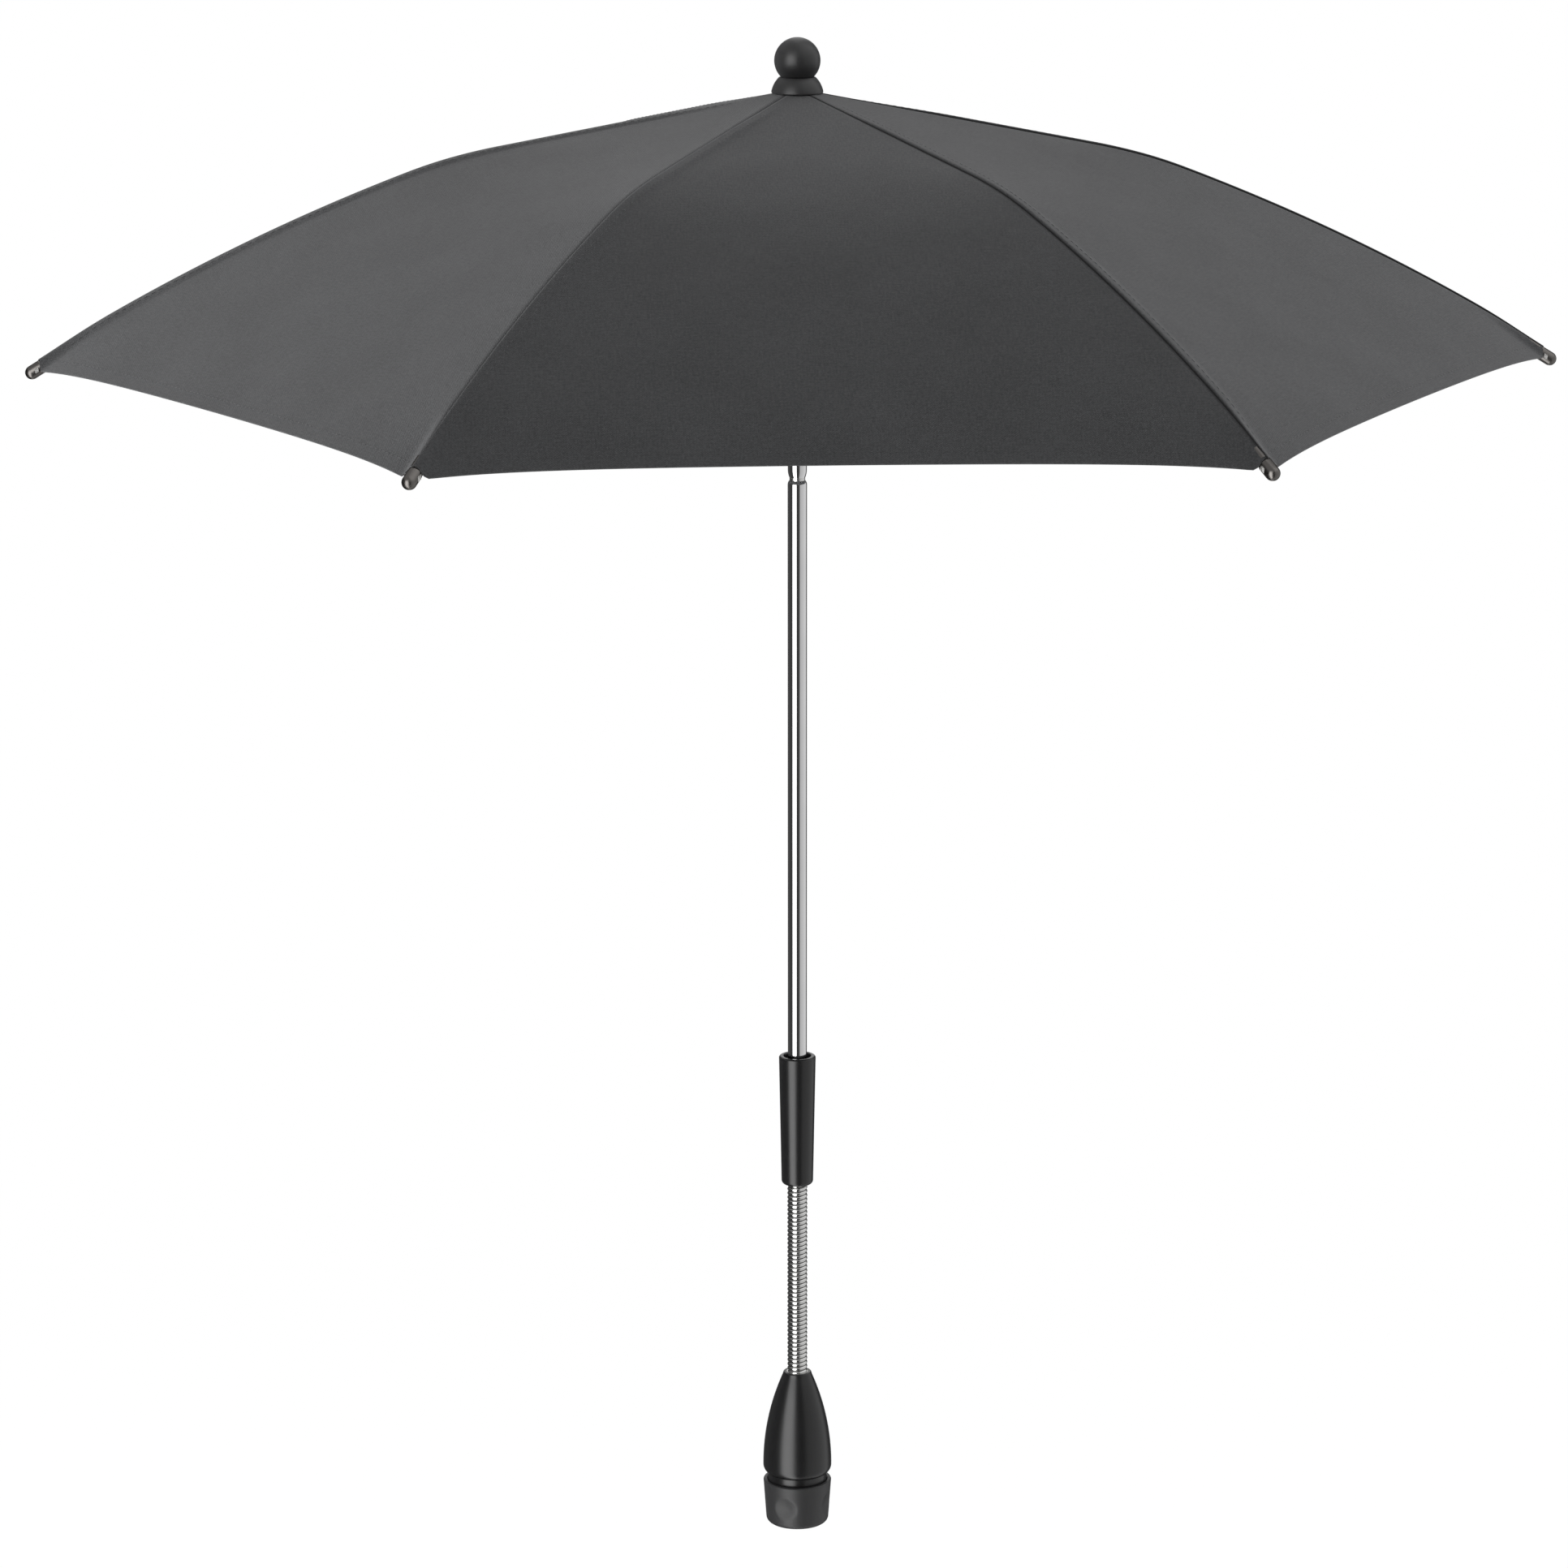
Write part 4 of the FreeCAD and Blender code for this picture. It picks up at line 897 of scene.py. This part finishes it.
for number, angle in rib_angles.items():
    after = number % RIB_COUNT + 1
    for side, word, rib in ((1, "left", number), (-1, "right", after)):
        flap = half_gore(f"canopy_gore_{number}_{word}", angle + HALF_GORE, side)
        dressed(flap, f"rib_arm_{rib}", "canopy_cloth", cloth_grey, f"canopy_gore_{number}")
        places = hem_places(angle + HALF_GORE, side)
        if side == 1:
            places += seam_places(angle + HALF_GORE, side)
        sewn(flap, grey_thread, places)
        sewn(flap, white_thread, tie_places(rib_angles[rib], side))
        out = Vector((math.cos(rib_angles[rib]), math.sin(rib_angles[rib]), 0))
        across = Vector((-out.y, out.x, 0)) * side
        upward = out * math.sin(RIB_CHORD_SLOPE) + Vector((0, 0, math.cos(RIB_CHORD_SLOPE)))
        fold = across * math.cos(FLAP_TILT) - upward * math.sin(FLAP_TILT)
        anchor = out * FLAP_POINT[0] + Vector((0, 0, FLAP_POINT[1]))
        strip = creased(flap, f"canopy_strip_{number}_{word}", anchor, fold)
        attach(strip, f"rib_arm_{rib}")
        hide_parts(f"canopy_gore_{number}")
        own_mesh(flap)

bpy.data.objects.remove(stitch_form)

# Finial. A bell-shaped collar that clamps the cloth on the crown, with a boss through its middle, and a
# ball on top of it, both satin dark grey mouldings screwed down on the stud.
FINIAL_GREY = (0.034, 0.034, 0.035)
COLLAR_LIP = 0.001
COLLAR_HEIGHT = 0.0069
COLLAR_FULLNESS = 0.0005
COLLAR_BOSS = 0.0005
BOSS_RADIUS = 0.0072
GRIP_RADIUS = 0.008
GRIP_HEIGHT = 0.0007
LIP_GAP = 0.0001
BELL_STEPS = 16
BALL_STEPS = 40
WAIST_RADIUS = 0.0078
STUD_HOLE = 0.00253
BALL_RADIUS = 0.0099
BALL_RISE = 0.007
finial_grey = moulded("satin_grey_moulding", FINIAL_GREY, 0.42, 0.0004, 0.000015)
collar_top = CLOTH_TOP + COLLAR_HEIGHT
flank_run = Vector((WAIST_RADIUS - COLLAR_RADIUS, COLLAR_HEIGHT - COLLAR_LIP))
flank_out = Vector((flank_run.y, -flank_run.x)).normalized()
bell = []
for step in range(1, BELL_STEPS):
    share = step / BELL_STEPS
    swollen = flank_run * share + flank_out * COLLAR_FULLNESS * 4 * share * (1 - share)
    bell.append((COLLAR_RADIUS + swollen.x, CLOTH_TOP + COLLAR_LIP + swollen.y))
collar = turned("finial_collar_moulding", rounded([
    (STUD_HOLE, CLOTH_TOP - COLLAR_BOSS), (BOSS_RADIUS, CLOTH_TOP - COLLAR_BOSS),
    (BOSS_RADIUS, CLOTH_TOP + GRIP_HEIGHT), (GRIP_RADIUS, CLOTH_TOP + GRIP_HEIGHT),
    (COLLAR_RADIUS, CLOTH_TOP + LIP_GAP, FINE_ROUNDING), (COLLAR_RADIUS, CLOTH_TOP + COLLAR_LIP), *bell,
    (WAIST_RADIUS, collar_top, FINE_ROUNDING), (STUD_HOLE, collar_top),
    (STUD_HOLE, CLOTH_TOP - COLLAR_BOSS)]))
dressed(collar, "pole", "finial_moulding", finial_grey, "finial_collar")
ball_low = -math.asin(BALL_RISE / BALL_RADIUS)
ball_outline = [(0.0, collar_top)]
for step in range(BALL_STEPS + 1):
    turn = ball_low + (math.pi / 2 - ball_low) * step / BALL_STEPS
    height = collar_top + BALL_RISE + BALL_RADIUS * math.sin(turn)
    ball_outline.append((BALL_RADIUS * math.cos(turn), height))
ball = turned("finial_ball_moulding", ball_outline)
dressed(ball, "pole", "finial_moulding", finial_grey, "finial_ball")

# Floor. A wide pale sweep, as far below the foot as a pram's frame would hold it. It glows to the camera
# alone, so that it is as white as the backdrop and still takes the object's shadow.
FLOOR_SIZE = 60.0
FLOOR_HEIGHT = -0.75
FLOOR_GLOW = 0.93
FLOOR_FADE = 0.8, 3.0
FLOOR_WHITE = (0.94, 0.94, 0.94, 1.0)
bpy.ops.object.select_all(action="DESELECT")
bpy.ops.mesh.primitive_plane_add(size=FLOOR_SIZE, location=(0, 0, FLOOR_HEIGHT))
floor = bpy.context.object
floor.name = "floor"
pale = finish("pale_floor", {"Roughness": 0.9, "Base Color": FLOOR_WHITE})
seen = pale.node("ShaderNodeLightPath", output="Is Camera Ray")
surface = pale.tree.nodes["Principled BSDF"].outputs[0]
glow = pale.node("ShaderNodeEmission", {}, {"Strength": 1.0})
away = pale.node("ShaderNodeVectorMath", {"operation": "LENGTH"}, {0: pale.place()}, output="Value")
share = FLOOR_GLOW + (1 - FLOOR_GLOW) * pale.eased(away, *FLOOR_FADE)
lit = pale.node("ShaderNodeMixShader", {}, {0: share * seen, 1: Value(pale, surface), 2: glow})
pale.join(pale.tree.nodes["Material Output"].inputs["Surface"], lit)
floor.data.materials.append(pale.material)
floor.visible_glossy = False

# Studio light. Two wide lamps stand to the left and the right, behind the object. The room gives an even
# fill, and its tall soft boxes and dark cards are what the chrome shows.
LAMPS = {
    "left": ((-2.8, 1.3, 0.6), 2.0, 134.0),
    "right": ((2.4, 1.9, 1.1), 2.2, 82.0),
}
LAMP_AIM = Vector((0, 0, 0.5))
ROOM_FILL = 0.44
ROOM_DARK = 0.05
KEY_BOX = -60, -7, 10
KEY_LEVEL = 3.4
SIDE_CARD = 22, 134, 14
SIDE_LEVELS = 0.46, 0.2
SIDE_RISE_RADIANS = 0.4, 2.2
FAR_CARD = -170, -90, 60
FAR_LEVEL = 0.06
BACKDROP = -168, 168, 6
BACKDROP_LEVEL = 0.95
CEILING = 0.3, 0.7
CEILING_LEVEL = 0.4
for name, (place, size, power) in LAMPS.items():
    bpy.ops.object.light_add(type="AREA", location=place)
    lamp = bpy.context.object
    lamp.name = f"lamp_{name}"
    lamp.data.size = size
    lamp.data.energy = power
    lamp.rotation_euler = (LAMP_AIM - lamp.location).to_track_quat("-Z", "Y").to_euler()
    lamp.visible_camera = False
    lamp.visible_glossy = False

bpy.context.scene.world = bpy.data.worlds.new("studio")
bpy.context.scene.world.use_nodes = True
room = Nodes(bpy.context.scene.world.node_tree)
background = bpy.context.scene.world.node_tree.nodes["Background"].inputs
direction = room.place("Generated")
right_of = room.node("ShaderNodeSeparateXYZ", {}, {0: direction}, "X")
behind = room.node("ShaderNodeSeparateXYZ", {}, {0: direction}, "Y")
above = room.node("ShaderNodeSeparateXYZ", {}, {0: direction}, "Z")
bearing = room.node("ShaderNodeMath", {"operation": "ARCTAN2"}, {0: right_of, 1: behind * -1.0})


def soft_box(low, high, edge):
    """1 between two bearings from the camera's side, with soft edges, all in degrees."""
    low, high, edge = math.radians(low), math.radians(high), math.radians(edge)
    return room.eased(bearing, low, low + edge) - room.eased(bearing, high - edge, high)


level = 1 - room.eased(above, *CEILING)
backdrop = 1 - soft_box(*BACKDROP)
side_share = room.eased(bearing, *SIDE_RISE_RADIANS)
side_card = soft_box(*SIDE_CARD) * (SIDE_LEVELS[0] + SIDE_LEVELS[1] * side_share)
far_left = FAR_LEVEL * soft_box(*FAR_CARD)
studio = ROOM_DARK + KEY_LEVEL * soft_box(*KEY_BOX) * level + side_card + far_left
studio = studio + BACKDROP_LEVEL * backdrop + CEILING_LEVEL * (1 - level)
camera_ray = room.node("ShaderNodeLightPath", output="Is Camera Ray")
glossy_ray = room.node("ShaderNodeLightPath", output="Is Glossy Ray")
fill = ROOM_FILL * (1 - camera_ray - glossy_ray) + camera_ray + studio * glossy_ray
background["Color"].default_value = (1.0, 1.0, 1.0, 1.0)
room.join(background["Strength"], fill)

# Camera. A long lens a little above the canopy's hem, straight in front, as in the photograph.
CAMERA_DISTANCE = 2.25
CAMERA_HEIGHT = 0.87
AIM_HEIGHT = 0.3455
FOCAL_LENGTH = 120.6
SENSOR_WIDTH = 36.0
LENS_SHIFT = -0.0085, -0.0027
bpy.ops.object.camera_add(location=(0, -CAMERA_DISTANCE, CAMERA_HEIGHT))
camera = bpy.context.object
camera.rotation_euler = (Vector((0, 0, AIM_HEIGHT)) - camera.location).to_track_quat("-Z", "Y").to_euler()
camera.data.lens = FOCAL_LENGTH
camera.data.sensor_width = SENSOR_WIDTH
camera.data.shift_x, camera.data.shift_y = LENS_SHIFT
bpy.context.scene.camera = camera
bpy.context.scene.view_settings.view_transform = "Standard"
